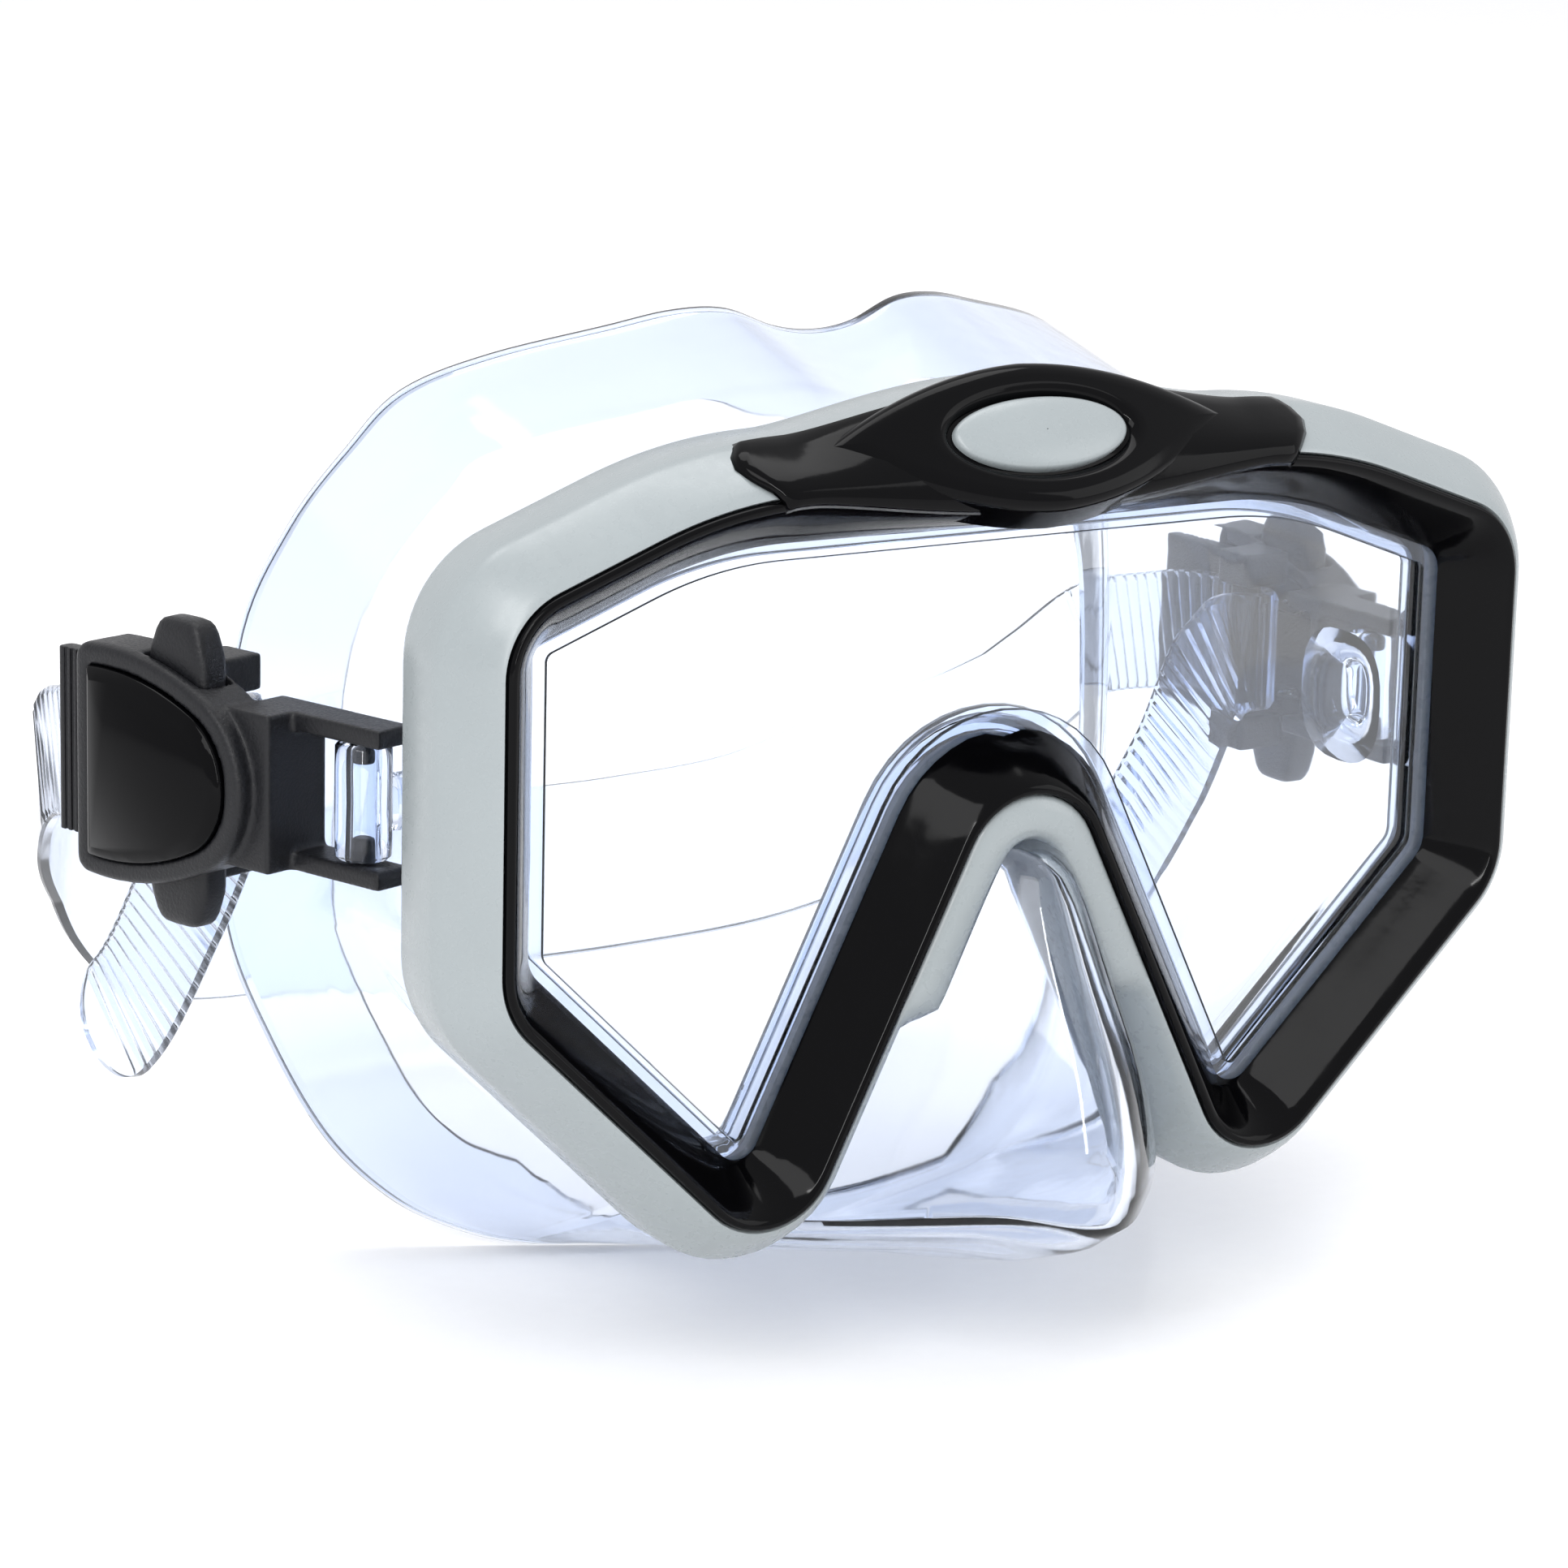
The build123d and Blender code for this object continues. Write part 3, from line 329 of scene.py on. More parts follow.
# %% [markdown]
# ## The black bezel
# The bezel holds the glass. Its wide inner face slopes from the ridge down to the glass. A real
# moulding has no sharp edges, so the section rounds over at the ridge and at the glass, and the
# face between is slightly crowned, which draws the long soft highlights.

# %% Black bezel
BEZEL_SECTION = [
    (0.55, -48.0), (0.6, -55.3), (0.45, -55.8), (0.1, -56.05), (-0.4, -55.95), (-0.9, -55.6),
    (-2.0, -54.35), (-3.3, -52.7), (-4.6, -50.9), (-5.7, -49.3), (-6.3, -48.5), (-6.5, -48.15),
    (-6.4, -48.02),
]
BOW_HALF, BOW = 34.0, 3.0


def bow_share(points):
    """1 in the middle of the brow, falling to 0 at its ends."""
    reach = np.clip(np.abs(points[:, 0]) / BOW_HALF, 0, 1)
    return np.where(points[:, 2] > 20, (1 - reach ** 2) ** 1.5, 0.0)


def reshaped(made, change):
    """Applies change to the vertices of a piece, in millimetres."""
    points = np.array([v.co for v in made.data.vertices]) / MM
    made.data.vertices.foreach_set("co", (change(points) * MM).ravel())
    made.data.update()


def bezel_shape(points):
    """The ridge bows down under the pad, and a clip recess marks the nose arch."""
    ahead = np.clip((-48.0 - points[:, 1]) / 8.0, 0, 1)
    points[:, 2] -= BOW * bow_share(points) * ahead ** 0.7
    points[:, 1] -= 0.8 * bow_share(points) * ahead
    in_arch = (points[:, 2] > -2) & (points[:, 2] < 12) & (points[:, 1] > -49.6)
    recess = np.clip(1.6 - np.abs(np.abs(points[:, 0]) - 0.4) / 1.7, 0, 1)
    points[:, 2] -= np.where(in_arch, 1.1 * recess, 0)
    return points


bezel = ring("front_bezel_moulding", ridge, outward, BEZEL_SECTION, gloss_black, 50)
reshaped(bezel, bezel_shape)
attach(bezel, "mask")
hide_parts("front_bezel")
print("bezel:", len(bezel.data.polygons), "faces")

# %% [markdown]
# ## The grey outer frame
# Outside the ridge the grey frame falls away in a crowned slope to a rounded rim and a straight
# side. In the notch for the nose it widens into a web that bridges the two legs.

# %% Grey outer frame
SLOPE = [(1.4, -55.15), (2.4, -54.1), (3.8, -52.3), (5.2, -50.2), (6.1, -48.7), (6.45, -47.9)]
WEB = [(1.4, -55.7), (2.9, -56.0), (4.6, -55.95), (5.8, -55.6), (6.5, -54.7), (6.75, -53.4)]
TRIM_SECTION = [(0.68, -48.0), (0.68, -55.0), (0.95, -55.35)] + SLOPE + [
    (6.55, -47.0), (6.5, -40.2), (6.2, -39.4), (5.6, -39.05), (-4.8, -39.0), (-4.8, -40.6)]
WEB_END, WEB_FADE = -31.5, 3.0
in_notch = (np.abs(ridge[:, 0]) < 30) & (ridge[:, 1] < 10) & (ridge[:, 1] > -50)
web_share = np.where(in_notch, np.clip((ridge[:, 1] - WEB_END) / WEB_FADE, 0, 1), 0.0)
web_share = np.sqrt(1 - (1 - web_share) ** 2)
rows = []
for i, (grow, y) in enumerate(TRIM_SECTION):
    extra, ahead = 0.0, 0.0
    if 3 <= i < 3 + len(SLOPE):
        extra, ahead = WEB[i - 3][0] - grow, WEB[i - 3][1] - y
    flat = ridge + outward * (grow + extra * web_share)[:, None]
    rows.append(np.column_stack([flat[:, 0], y + ahead * web_share, flat[:, 1]]))
faces = grid_faces(len(rows), len(ridge), True, True)
trim = piece("trim_frame_moulding", np.concatenate(rows), faces, grey_abs, 50)


def trim_shape(points):
    """The rim of the frame swells up behind the brow pad."""
    top = points[:, 2] > 34.4
    rise = np.clip((points[:, 2] - 34.4) / 6.0, 0, 1) * bow_share(points)
    points[:, 2] += np.where(top, 4.6 * rise, 0)
    above, front = np.clip((points[:, 2] - 33) / 2, 0, 1), np.clip((-50 - points[:, 1]) / 6, 0, 1)
    low = above * front * (1 - np.clip((points[:, 2] - 36.5) / 3, 0, 1))
    points[:, 2] -= BOW * bow_share(points) * low
    return points


reshaped(trim, trim_shape)
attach(trim, "mask")
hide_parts("trim_frame")
print("trim:", len(trim.data.polygons), "faces")

# %% [markdown]
# ## Brow bridge, pad and badge
# A black saddle crosses the top of the frame. On it sits an eye-shaped pad, and an oval badge in
# a shallow dish. The badge is left plain.

# %% Brow bridge
top_line = np.argsort(ridge[:, 0])
top_line = top_line[(ridge[top_line, 1] > 25) & (np.abs(ridge[top_line, 0]) < 60)]


def top_height(x, grow):
    """Height of the top of the outline, grown by grow, at x."""
    line = ridge[top_line] + outward[top_line] * grow
    return np.interp(x, line[:, 0], line[:, 1])


# each row of the saddle: grow from the ridge line, depth, half length
BRIDGE_SECTION = [
    (-0.7, -56.05, 37.6), (0.0, -56.75, 37.8), (1.0, -56.85, 38.3), (2.2, -56.1, 39.4),
    (3.6, -54.4, 41.2), (5.0, -52.2, 42.4), (6.0, -50.4, 42.0), (6.7, -49.0, 41.0),
    (6.9, -48.0, 40.6), (6.3, -47.9, 40.6)]
BRIDGE_COLUMNS = 81
rows = []
for grow, y, half in BRIDGE_SECTION:
    x = np.linspace(-half, half, BRIDGE_COLUMNS)
    edge = np.clip((half - np.abs(x)) / 1.4, 0, 1)
    sink = 0.75 * (1 - np.sqrt(1 - (1 - edge) ** 2))
    rows.append(np.column_stack([x, y + sink, top_height(x, grow) - 0.6 * sink]))
faces = grid_faces(len(rows), BRIDGE_COLUMNS)
bridge = piece("brow_bridge_moulding", np.concatenate(rows), faces, gloss_black, 60)


def bridge_shape(points):
    """The saddle bows down with the bezel and swells up behind the pad."""
    share = bow_share(points)
    high = np.clip((points[:, 2] - 35.0) / 6.0, 0, 1)
    points[:, 2] += share * (4.3 * high - BOW * (1 - high))
    points[:, 1] -= 0.8 * share * (1 - high)
    return points


reshaped(bridge, bridge_shape)
solid = bridge.modifiers.new("wall", "SOLIDIFY")
solid.thickness, solid.offset = 0.9 * MM, -1.0
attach(bridge, "mask")
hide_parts("brow_bridge")

# %% Brow pad and badge
PAD_Y, PAD_Z, PAD_HALF, PAD_TALL, PAD_LEAN, PAD_WRAP = -53.8, 39.7, 29.8, 10.2, radians(37), 0.0034
BADGE_X, BADGE_TALL = 12.7, 4.9


def on_pad(across, up, proud):
    """Point on the leaning pad: across it, up its face and proud of it."""
    y = PAD_Y + up * sin(PAD_LEAN) + PAD_WRAP * across ** 2 - proud * cos(PAD_LEAN)
    z = PAD_Z + up * cos(PAD_LEAN) + proud * sin(PAD_LEAN)
    return np.column_stack([across, y, z])


angles = np.linspace(0, 2 * pi, 144, endpoint=False)


def eye_outline(shrink):
    """Outline of the pad, inset by shrink: two arcs that meet in soft points."""
    half, tall = PAD_HALF - 2.4 * shrink, PAD_TALL - shrink
    reach = np.abs(np.cos(angles))
    return half * np.cos(angles), tall * np.sign(np.sin(angles)) * (1 - reach ** 2.1) * (1 - 0.1 * reach)


PAD_ROWS = [(0.0, -5.0), (0.0, -0.5), (0.12, 0.3), (0.45, 0.85), (1.0, 1.2), (1.7, 1.35), (2.2, 1.4)]
DISH_ROWS = [(1.7, 1.3), (1.3, 1.15), (0.9, 0.8), (0.5, 0.25), (0.25, -0.3), (0.15, -0.8)]
rows = []
for shrink, proud in PAD_ROWS:
    across, up = eye_outline(shrink)
    rows.append(on_pad(across, up, np.full(len(angles), proud)))
across, up = eye_outline(PAD_ROWS[-1][0])
oval_x, oval_z = (BADGE_X + 2.0) * np.cos(angles), (BADGE_TALL + 2.0) * np.sin(angles)
for share in np.linspace(0, 1, 9)[1:]:
    x, z = across + (oval_x - across) * share, up + (oval_z - up) * share
    rows.append(on_pad(x, z, np.full(len(angles), 1.4)))
for grow, proud in DISH_ROWS:
    x, z = (BADGE_X + grow) * np.cos(angles), (BADGE_TALL + grow) * np.sin(angles)
    rows.append(on_pad(x, z, np.full(len(angles), proud)))
rows.append(on_pad(0.1 * np.cos(angles), 0.1 * np.sin(angles), np.full(len(angles), -0.8)))
faces = grid_faces(len(rows), len(angles), False, True)
pad = piece("brow_pad_moulding", np.concatenate(rows), faces, gloss_black, 60)
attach(pad, "mask")
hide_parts("brow_pad")

rows = []
BADGE_ROWS = [(1.0, -0.7), (1.0, 0.9), (0.985, 1.3), (0.95, 1.55), (0.88, 1.7), (0.7, 1.9),
              (0.4, 2.05), (0.01, 2.1)]
for share, proud in BADGE_ROWS:
    x, z = BADGE_X * share * np.cos(angles), BADGE_TALL * share * np.sin(angles)
    rows.append(on_pad(x, z, np.full(len(angles), proud)))
faces = grid_faces(len(rows), len(angles), False, True)
badge = piece("brow_badge_plain", np.concatenate(rows), faces, grey_abs, 50)
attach(badge, "mask")
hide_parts("brow_badge")
print("brow pieces made")

# %% [markdown]
# ## The clear skirt
# The skirt is one thin moulding. It starts as a collar round the glass, runs back in a wall
# with two fold lines, swells forward into the nose pocket, and ends in a rim that turns in to
# seal on the face. It is made as a grid: columns run round the mask, rows run from the frame to
# the face. The nose pocket is a patch between four edges, and thickness comes last.

# %% Face line and rim
# the rim of the seal, right half, as x and z from the brow round to the upper lip
RIM_POINTS = [
    (0, 45.2), (6, 46.0), (13, 48.6), (20, 48.6), (28, 46.8), (42, 43.0), (52, 38.0), (58, 30.0),
    (64, 19.5), (69, 5), (71, -18), (70.5, -36), (66, -51), (60, -64), (53, -72), (46, -76),
    (38, -78.2), (27, -78.2), (13, -77.4), (0, -77)]
# where the columns of the first seventeen of them leave the frame
FRAME_MATCH = [
    (0, 29.3), (6, 29.3), (13, 29.3), (20, 29.3), (27, 29.3), (40, 28.3), (54, 23.5), (63, 19.8),
    (68.5, 14.0), (69.3, 2), (69.3, -15), (68.0, -27), (61, -35.5), (52, -44), (45, -50),
    (39.5, -55.5), (34.0, -57.8)]


def smooth_curve(points, count):
    """A smooth curve through points, with count samples on each span."""
    p = np.array(points, float)
    before = p[1] * [-1, 1] if abs(p[0][0]) < 1e-9 else 2 * p[0] - p[1]
    ends = np.vstack([before, p, 2 * p[-1] - p[-2]])
    out = []
    for i in range(1, len(p)):
        a, b, c, d = ends[i - 1], ends[i], ends[i + 1], ends[i + 2]
        for k in range(count):
            t = k / count
            square, cube = 2 * a - 5 * b + 4 * c - d, 3 * b - a - 3 * c + d
            out.append(0.5 * (2 * b + (c - a) * t + square * t ** 2 + cube * t ** 3))
    out.append(p[-1])
    return np.array(out)


def face_y(x, z):
    """Depth of the seal on the face: the middle is forward, the temples are back."""
    lip = 5.5 * np.exp(-(x / 22.0) ** 2) * np.clip((-z - 55) / 20, 0, 1)
    return 30.0 * (x / 69.0) ** 2 - lip


SPAN = 7
rim = smooth_curve(RIM_POINTS, SPAN)
LOBE_COLUMN = SPAN * (len(FRAME_MATCH) - 1)
tangent = np.gradient(rim, axis=0)
tangent[0], tangent[-1] = (1, 0), (-1, 0)
rim_normal = np.column_stack([-tangent[:, 1], tangent[:, 0]])
rim_normal /= np.linalg.norm(rim_normal, axis=1)[:, None]

# %% Match the collar to the rim
COLLAR_GROW, LEG_GROW = -5.2, 5.4
start = int(np.argmin([abs(x) + (100 if z < 0 else 0) for x, z in ridge]))
ordered = [(start + k) % len(ridge) for k in range(len(ridge))]
ordered = [i for i in ordered if ridge[i, 0] > -0.6]
half_ridge, half_out = ridge[ordered], outward[ordered]
length = np.concatenate([[0], np.cumsum(np.linalg.norm(np.diff(half_ridge, axis=0), axis=1))])


def along(s, grow):
    """Point of the right half of the outline at arc length s, grown by grow."""
    p = np.array([np.interp(s, length, half_ridge[:, k]) for k in (0, 1)])
    n = np.array([np.interp(s, length, half_out[:, k]) for k in (0, 1)])
    return p + grow * n / np.linalg.norm(n)


inner_line = half_ridge + COLLAR_GROW * half_out
matched = [length[int(np.argmin(np.linalg.norm(inner_line - m, axis=1)))] for m in np.array(FRAME_MATCH)]
matched[0] = 0.0
lobe_s = matched[-1]
apex_s = length[-1]
spans = zip(matched[:-1], matched[1:])
main_s = np.concatenate([np.linspace(first, last, SPAN, endpoint=False) for first, last in spans])
print("outline half:", round(apex_s, 1), "mm, lobe at", round(lobe_s, 1))

# %% Rows of the outer wall
COLLAR_Y, NECK_Y, WALL_Y = -41.0, -39.2, -38.4  # the wall's first three rows, front to back
FOLD_B, FOLD_A = 0.37, 0.64  # how far out the two fold lines lie, from frame to rim
ROW_PLAN = [("collar", 0.0)] * 2 + [("b", q) for q in np.linspace(0, 1, 19)]
ROW_PLAN += [("a", q) for q in np.linspace(0, 1, 13)[1:]]
ROW_PLAN += [("rim", q) for q in np.linspace(0, 1, 17)[1:]]
# the nose pocket on the centre plane, as y and z from the notch to the upper lip
POCKET_PROFILE = np.array([
    (-38.4, -10.4), (-52, -10.6), (-58.5, -11.2), (-62.5, -14.5), (-68.6, -25.5), (-75.5, -36.3),
    (-78.6, -43.8), (-80.4, -51.7), (-78.7, -57.5), (-71, -62.5), (-58.5, -67.1), (-41.7, -71.5),
    (-22, -74.7), (-5.5, -77.0)])
profile_s = np.concatenate([[0], np.cumsum(np.linalg.norm(np.diff(POCKET_PROFILE, axis=0), axis=1))])
TIP_S, FOLD_S = profile_s[8], 106


def pocket_run(part, q):
    """How far along the pocket's profile a row lies."""
    if part == "collar":
        return 0.0
    if part == "b":
        return TIP_S * q
    if part == "a":
        return TIP_S + (FOLD_S - TIP_S) * q
    return FOLD_S + (profile_s[-1] - FOLD_S) * q


def wall_point(s, rim_xz, part, q, depth):
    """Point of the wall on one column between the collar and the rim."""
    frame_xz = along(s, COLLAR_GROW)
    y_rim = face_y(rim_xz[0], rim_xz[1])
    y_b, y_a = max(y_rim - 35, -35.0), y_rim - 21
    if part == "collar":
        return np.array([frame_xz[0], depth, frame_xz[1]])
    if part == "b":
        share, y = FOLD_B * q ** 0.85, WALL_Y + (y_b - WALL_Y) * q
    elif part == "a":
        share, y = FOLD_B + (FOLD_A - FOLD_B) * q, y_b + (y_a - y_b) * q
    else:
        share, y = FOLD_A + (1 - FOLD_A) * q, y_a + (y_rim - y_a) * q
    xz = frame_xz + (rim_xz - frame_xz) * share
    return np.array([xz[0], y, xz[1]])


NOTCH_COLUMNS = 44
leg_s = np.linspace(lobe_s, apex_s, NOTCH_COLUMNS + 1)
notch_rim = rim[LOBE_COLUMN:]
rim_run = np.concatenate([[0], np.cumsum(np.linalg.norm(np.diff(notch_rim, axis=0), axis=1))])
columns = LOBE_COLUMN + NOTCH_COLUMNS + 1
outer = np.zeros((len(ROW_PLAN), columns, 3))
for r, (part, q) in enumerate(ROW_PLAN):
    depth = (COLLAR_Y, NECK_Y)[r] if r < 2 else WALL_Y
    for c in range(LOBE_COLUMN):
        outer[r, c] = wall_point(main_s[c], rim[c], part, q, depth)
    run = pocket_run(part, q)
    w = run / profile_s[-1]
    apex = np.array([0.0] + [np.interp(run, profile_s, POCKET_PROFILE[:, i]) for i in (0, 1)])
    wall = wall_point(lobe_s, rim[LOBE_COLUMN], part, q, depth)
    for k in range(NOTCH_COLUMNS + 1):
        f = 1 - k / NOTCH_COLUMNS
        near = np.clip((1 - f) / 0.22, 0, 1)
        near = near * near * (3 - 2 * near)
        grow = COLLAR_GROW + (LEG_GROW - COLLAR_GROW) * near * (1.0 if r >= 2 else 0.0)
        leg = along(leg_s[k], grow)
        leg = np.array([leg[0], depth, leg[1]])
        if r < 2:
            outer[r, LOBE_COLUMN + k] = leg
            continue
        low = np.array([np.interp((1 - f) * rim_run[-1], rim_run, notch_rim[:, i]) for i in (0, 1)])
        low = np.array([low[0], face_y(low[0], low[1]), low[1]])
        leg0 = np.array([0, WALL_Y, POCKET_PROFILE[0, 1]])
        low0 = np.array([0, POCKET_PROFILE[-1, 0], POCKET_PROFILE[-1, 1]])
        leg1 = wall_point(lobe_s, rim[LOBE_COLUMN], "b", 0, depth)
        low1 = wall_point(lobe_s, rim[LOBE_COLUMN], "rim", 1, depth)
        spot = (1 - w) * leg + w * low + (1 - f) * apex + f * wall
        spot -= (1 - f) * (1 - w) * leg0 + (1 - f) * w * low0 + f * (1 - w) * leg1 + f * w * low1
        swell = sin(pi * f) ** 0.8 * sin(pi * min(w / 0.95, 1))
        spot[0] += 5.5 * swell
        outer[r, LOBE_COLUMN + k] = spot
outer[:, -1, 0] = 0.0
print("skirt grid:", outer.shape)

# %% Round the nose and mirror
NOSE_ROUNDS, RIM_ROUNDS = 14, 30
for _ in range(NOSE_ROUNDS):
    lane = outer[3:-1, LOBE_COLUMN + 4:, :]
    left, right = np.roll(lane, 1, axis=1), np.roll(lane, -1, axis=1)
    right[:, -1] = lane[:, -2] * [-1, 1, 1]
    smoothed = (left + right) / 2
    weight = np.clip((np.arange(lane.shape[1]) - 2) / 8, 0, 1)[None, :, None]
    outer[3:-1, LOBE_COLUMN + 4:, :] = lane + (smoothed - lane) * 0.5 * weight
    outer[:, -1, 0] = 0.0
mirror = outer[:, 1:-1][:, ::-1] * [-1, 1, 1]
whole = np.concatenate([outer, mirror], axis=1)
width = whole.shape[1]
print("whole skirt grid:", whole.shape)

# %% Turned-in seal
half_rim = np.zeros((columns, 2))
half_rim[:LOBE_COLUMN] = rim[:LOBE_COLUMN]
for k in range(NOTCH_COLUMNS + 1):
    at = k / NOTCH_COLUMNS * rim_run[-1]
    half_rim[LOBE_COLUMN + k] = [np.interp(at, rim_run, notch_rim[:, i]) for i in (0, 1)]
half_rim[-1, 0] = 0.0
full_rim = np.concatenate([half_rim, half_rim[1:-1][::-1] * [-1, 1]])
along_rim = np.roll(full_rim, -1, axis=0) - np.roll(full_rim, 1, axis=0)
rim_out = np.column_stack([-along_rim[:, 1], along_rim[:, 0]])
rim_out /= np.linalg.norm(along_rim, axis=1)[:, None]
for _ in range(RIM_ROUNDS):
    rim_out = (np.roll(rim_out, 1, axis=0) + rim_out * 2 + np.roll(rim_out, -1, axis=0)) / 4
rim_out /= np.linalg.norm(rim_out, axis=1)[:, None]
lip_share = np.clip((-full_rim[:, 1] - 60) / 14, 0, 1)
lip_share = lip_share * np.clip((40 - np.abs(full_rim[:, 0])) / 14, 0, 1)
flap_width = 13.0 - 8.0 * lip_share
SEAL = [(0.25, 0.7), (0.8, 1.1), (1.6, 1.15), (3.0, 1.0)] + [(None, q) for q in np.linspace(0.15, 1, 8)]
flap_rows = []
for inset, lift in SEAL:
    if inset is None:
        reach = 3.0 + (flap_width - 3.0) * lift
        rise = 1.0 - 1.8 * lift ** 2
    else:
        reach, rise = np.full(width, inset), lift
    xz = full_rim - rim_out * np.asarray(reach)[:, None]
    flap_rows.append(np.column_stack([xz[:, 0], face_y(xz[:, 0], full_rim[:, 1]) + rise, xz[:, 1]]))
sheet = np.concatenate([whole, np.array(flap_rows)], axis=0)
print("skirt sheet:", sheet.shape)

# %% Thickness of the skirt
WALL_ROWS, WALL_MM = [0, 20, 32, 48, 52, 60], [2.0, 2.0, 1.7, 1.4, 1.2, 0.7]
WALL_BY_ROW = np.interp(np.arange(sheet.shape[0]), WALL_ROWS, WALL_MM)


def sheet_normals(points):
    """Unit normals of a grid that closes along its columns."""
    across = np.roll(points, -1, axis=1) - np.roll(points, 1, axis=1)
    down = np.gradient(points, axis=0)
    n = np.cross(across, down)
    return n / np.maximum(np.linalg.norm(n, axis=2), 1e-9)[:, :, None]


normal = sheet_normals(sheet)
if normal[10, 40] @ np.array([1, 0, 0.5]) < 0:
    normal = -normal
inner = sheet - normal * WALL_BY_ROW[:, None, None]
shell = np.concatenate([sheet, inner[::-1]], axis=0)
faces = grid_faces(shell.shape[0], width, True, True)
skirt = piece("skirt_clear_moulding", shell.reshape(-1, 3), faces, skirt_pvc, 60)
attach(skirt, "mask")
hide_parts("skirt")
COLLAR_SECTION = [
    (-1.3, -47.95), (-8.7, -47.95), (-8.9, -47.5), (-8.7, -47.05), (-3.0, -47.05), (-3.0, -42.95),
    (-8.5, -42.95), (-8.7, -42.0), (-8.4, -41.0), (-7.2, -40.8), (-7.2, -40.0), (-5.3, -40.0),
    (-5.3, -41.0), (-1.3, -41.0)]
collar = ring("skirt_lens_collar", ridge, outward, COLLAR_SECTION, skirt_pvc, 50)
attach(collar, "mask")
print("skirt faces:", len(skirt.data.polygons))

# %% [markdown]
# ## The glass
# One flat sheet of tempered glass fills the bezel. Its CAD solid already has the outline and
# the ground edge, so it stays as it is, and only its material is set.

# %% Glass
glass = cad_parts["lens"]
glass.data.materials.clear()
glass.data.materials.append(tempered_glass)
print("glass is", [round(v / MM, 1) for v in glass.dimensions], "mm")

# %% [markdown]
# ## Swivel lugs
# On each side the skirt carries a clear upright barrel on a neck. The buckle's two pegs snap
# into its ends. The neck flares where it joins the wall, as a soft moulding does.

# %% Swivel lugs
HINGE_X, HINGE_Y, HINGE_Z = 77.5, -23.0, -5.0
LUG_ROWS = [(-7.3, 1.7), (-7.3, 3.2), (-6.9, 3.55), (-4.4, 3.6), (4.4, 3.6), (6.9, 3.55), (7.3, 3.2),
            (7.3, 1.7), (0, 1.6)]
LUG_SIDES, NECK_SIDES, NECK_SQUARE = 36, 28, 0.75


def squarish(values, power):
    """Powers of sine or cosine that keep their sign, which squares off a circle."""
    return np.sign(values) * np.abs(values) ** power


for side, name in ((-1, "left"), (1, "right")):
    a = np.linspace(0, 2 * pi, LUG_SIDES, endpoint=False)
    barrel = []
    for z, r in LUG_ROWS:
        x, y = side * HINGE_X + r * np.cos(a), HINGE_Y + r * np.sin(a)
        barrel.append(np.column_stack([x, y, np.full(LUG_SIDES, HINGE_Z + z)]))
    faces = grid_faces(len(barrel), LUG_SIDES, True, True)
    lug = piece(f"{name}_swivel_lug", np.concatenate(barrel), faces, skirt_pvc, 50)
    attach(lug, "mask")
    a = np.linspace(0, 2 * pi, NECK_SIDES, endpoint=False)
    neck = []
    for step in np.linspace(0, 1, 12):
        half_y, half_z = 2.3 + 6.5 * step ** 3, 3.6 + 5.5 * step ** 3
        x = np.full(NECK_SIDES, side * (HINGE_X - 2.6 - step * 6.6))
        y = HINGE_Y - 2.2 - 2.0 * step + half_y * squarish(np.cos(a), NECK_SQUARE)
        neck.append(np.column_stack([x, y, HINGE_Z + half_z * squarish(np.sin(a), NECK_SQUARE)]))
    faces = grid_faces(len(neck), NECK_SIDES, False, True)
    stalk = piece(f"{name}_lug_neck", np.concatenate(neck), faces, skirt_pvc, 50)
    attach(stalk, "mask")
print("lugs made")

# %% [markdown]
# ## Buckles
# The buckle's CAD solids already have the right form, but moulded plastic never has a knife
# edge. So each one is copied and its flat faces are merged. A narrow bevel rounds the edges of
# the small parts. The body gets an even skin from a voxel remesh, and smoothing then melts its
# corners into each other, as in a deep moulding. The coil keeps its solid in spring steel.

# %% Soften the buckle mouldings
SMOOTH_STEPS = 14


def softened(name, material, slot, body, width_mm=0.2, segments=2, voxel_mm=0.0):
    """A copy of a CAD node, bevelled or given a smooth voxel skin, standing in for it."""
    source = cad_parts[name]
    made = bpy.data.objects.new(f"{name}_moulding", source.data.copy())
    bpy.context.scene.collection.objects.link(made)
    work = bmesh.new()
    work.from_mesh(made.data)
    bmesh.ops.remove_doubles(work, verts=work.verts, dist=0.002 * MM)
    bmesh.ops.dissolve_limit(work, angle_limit=radians(1.5), verts=work.verts, edges=work.edges)
    work.to_mesh(made.data)
    work.free()
    made.data.materials.clear()
    made.data.materials.append(material)
    for polygon in made.data.polygons:
        polygon.use_smooth = True
    if voxel_mm:
        skin = made.modifiers.new("even skin", "REMESH")
        skin.mode, skin.voxel_size, skin.use_smooth_shade = "VOXEL", voxel_mm * MM, True
        blend = made.modifiers.new("blended corners", "SMOOTH")
        blend.factor, blend.iterations = 0.5, SMOOTH_STEPS
    else:
        round_edge = made.modifiers.new("round edges", "BEVEL")
        round_edge.width, round_edge.segments = width_mm * MM, segments
        round_edge.limit_method, round_edge.angle_limit = "ANGLE", radians(35)
        round_edge.use_clamp_overlap, round_edge.harden_normals = True, True
    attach(made, body)
    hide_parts(name)


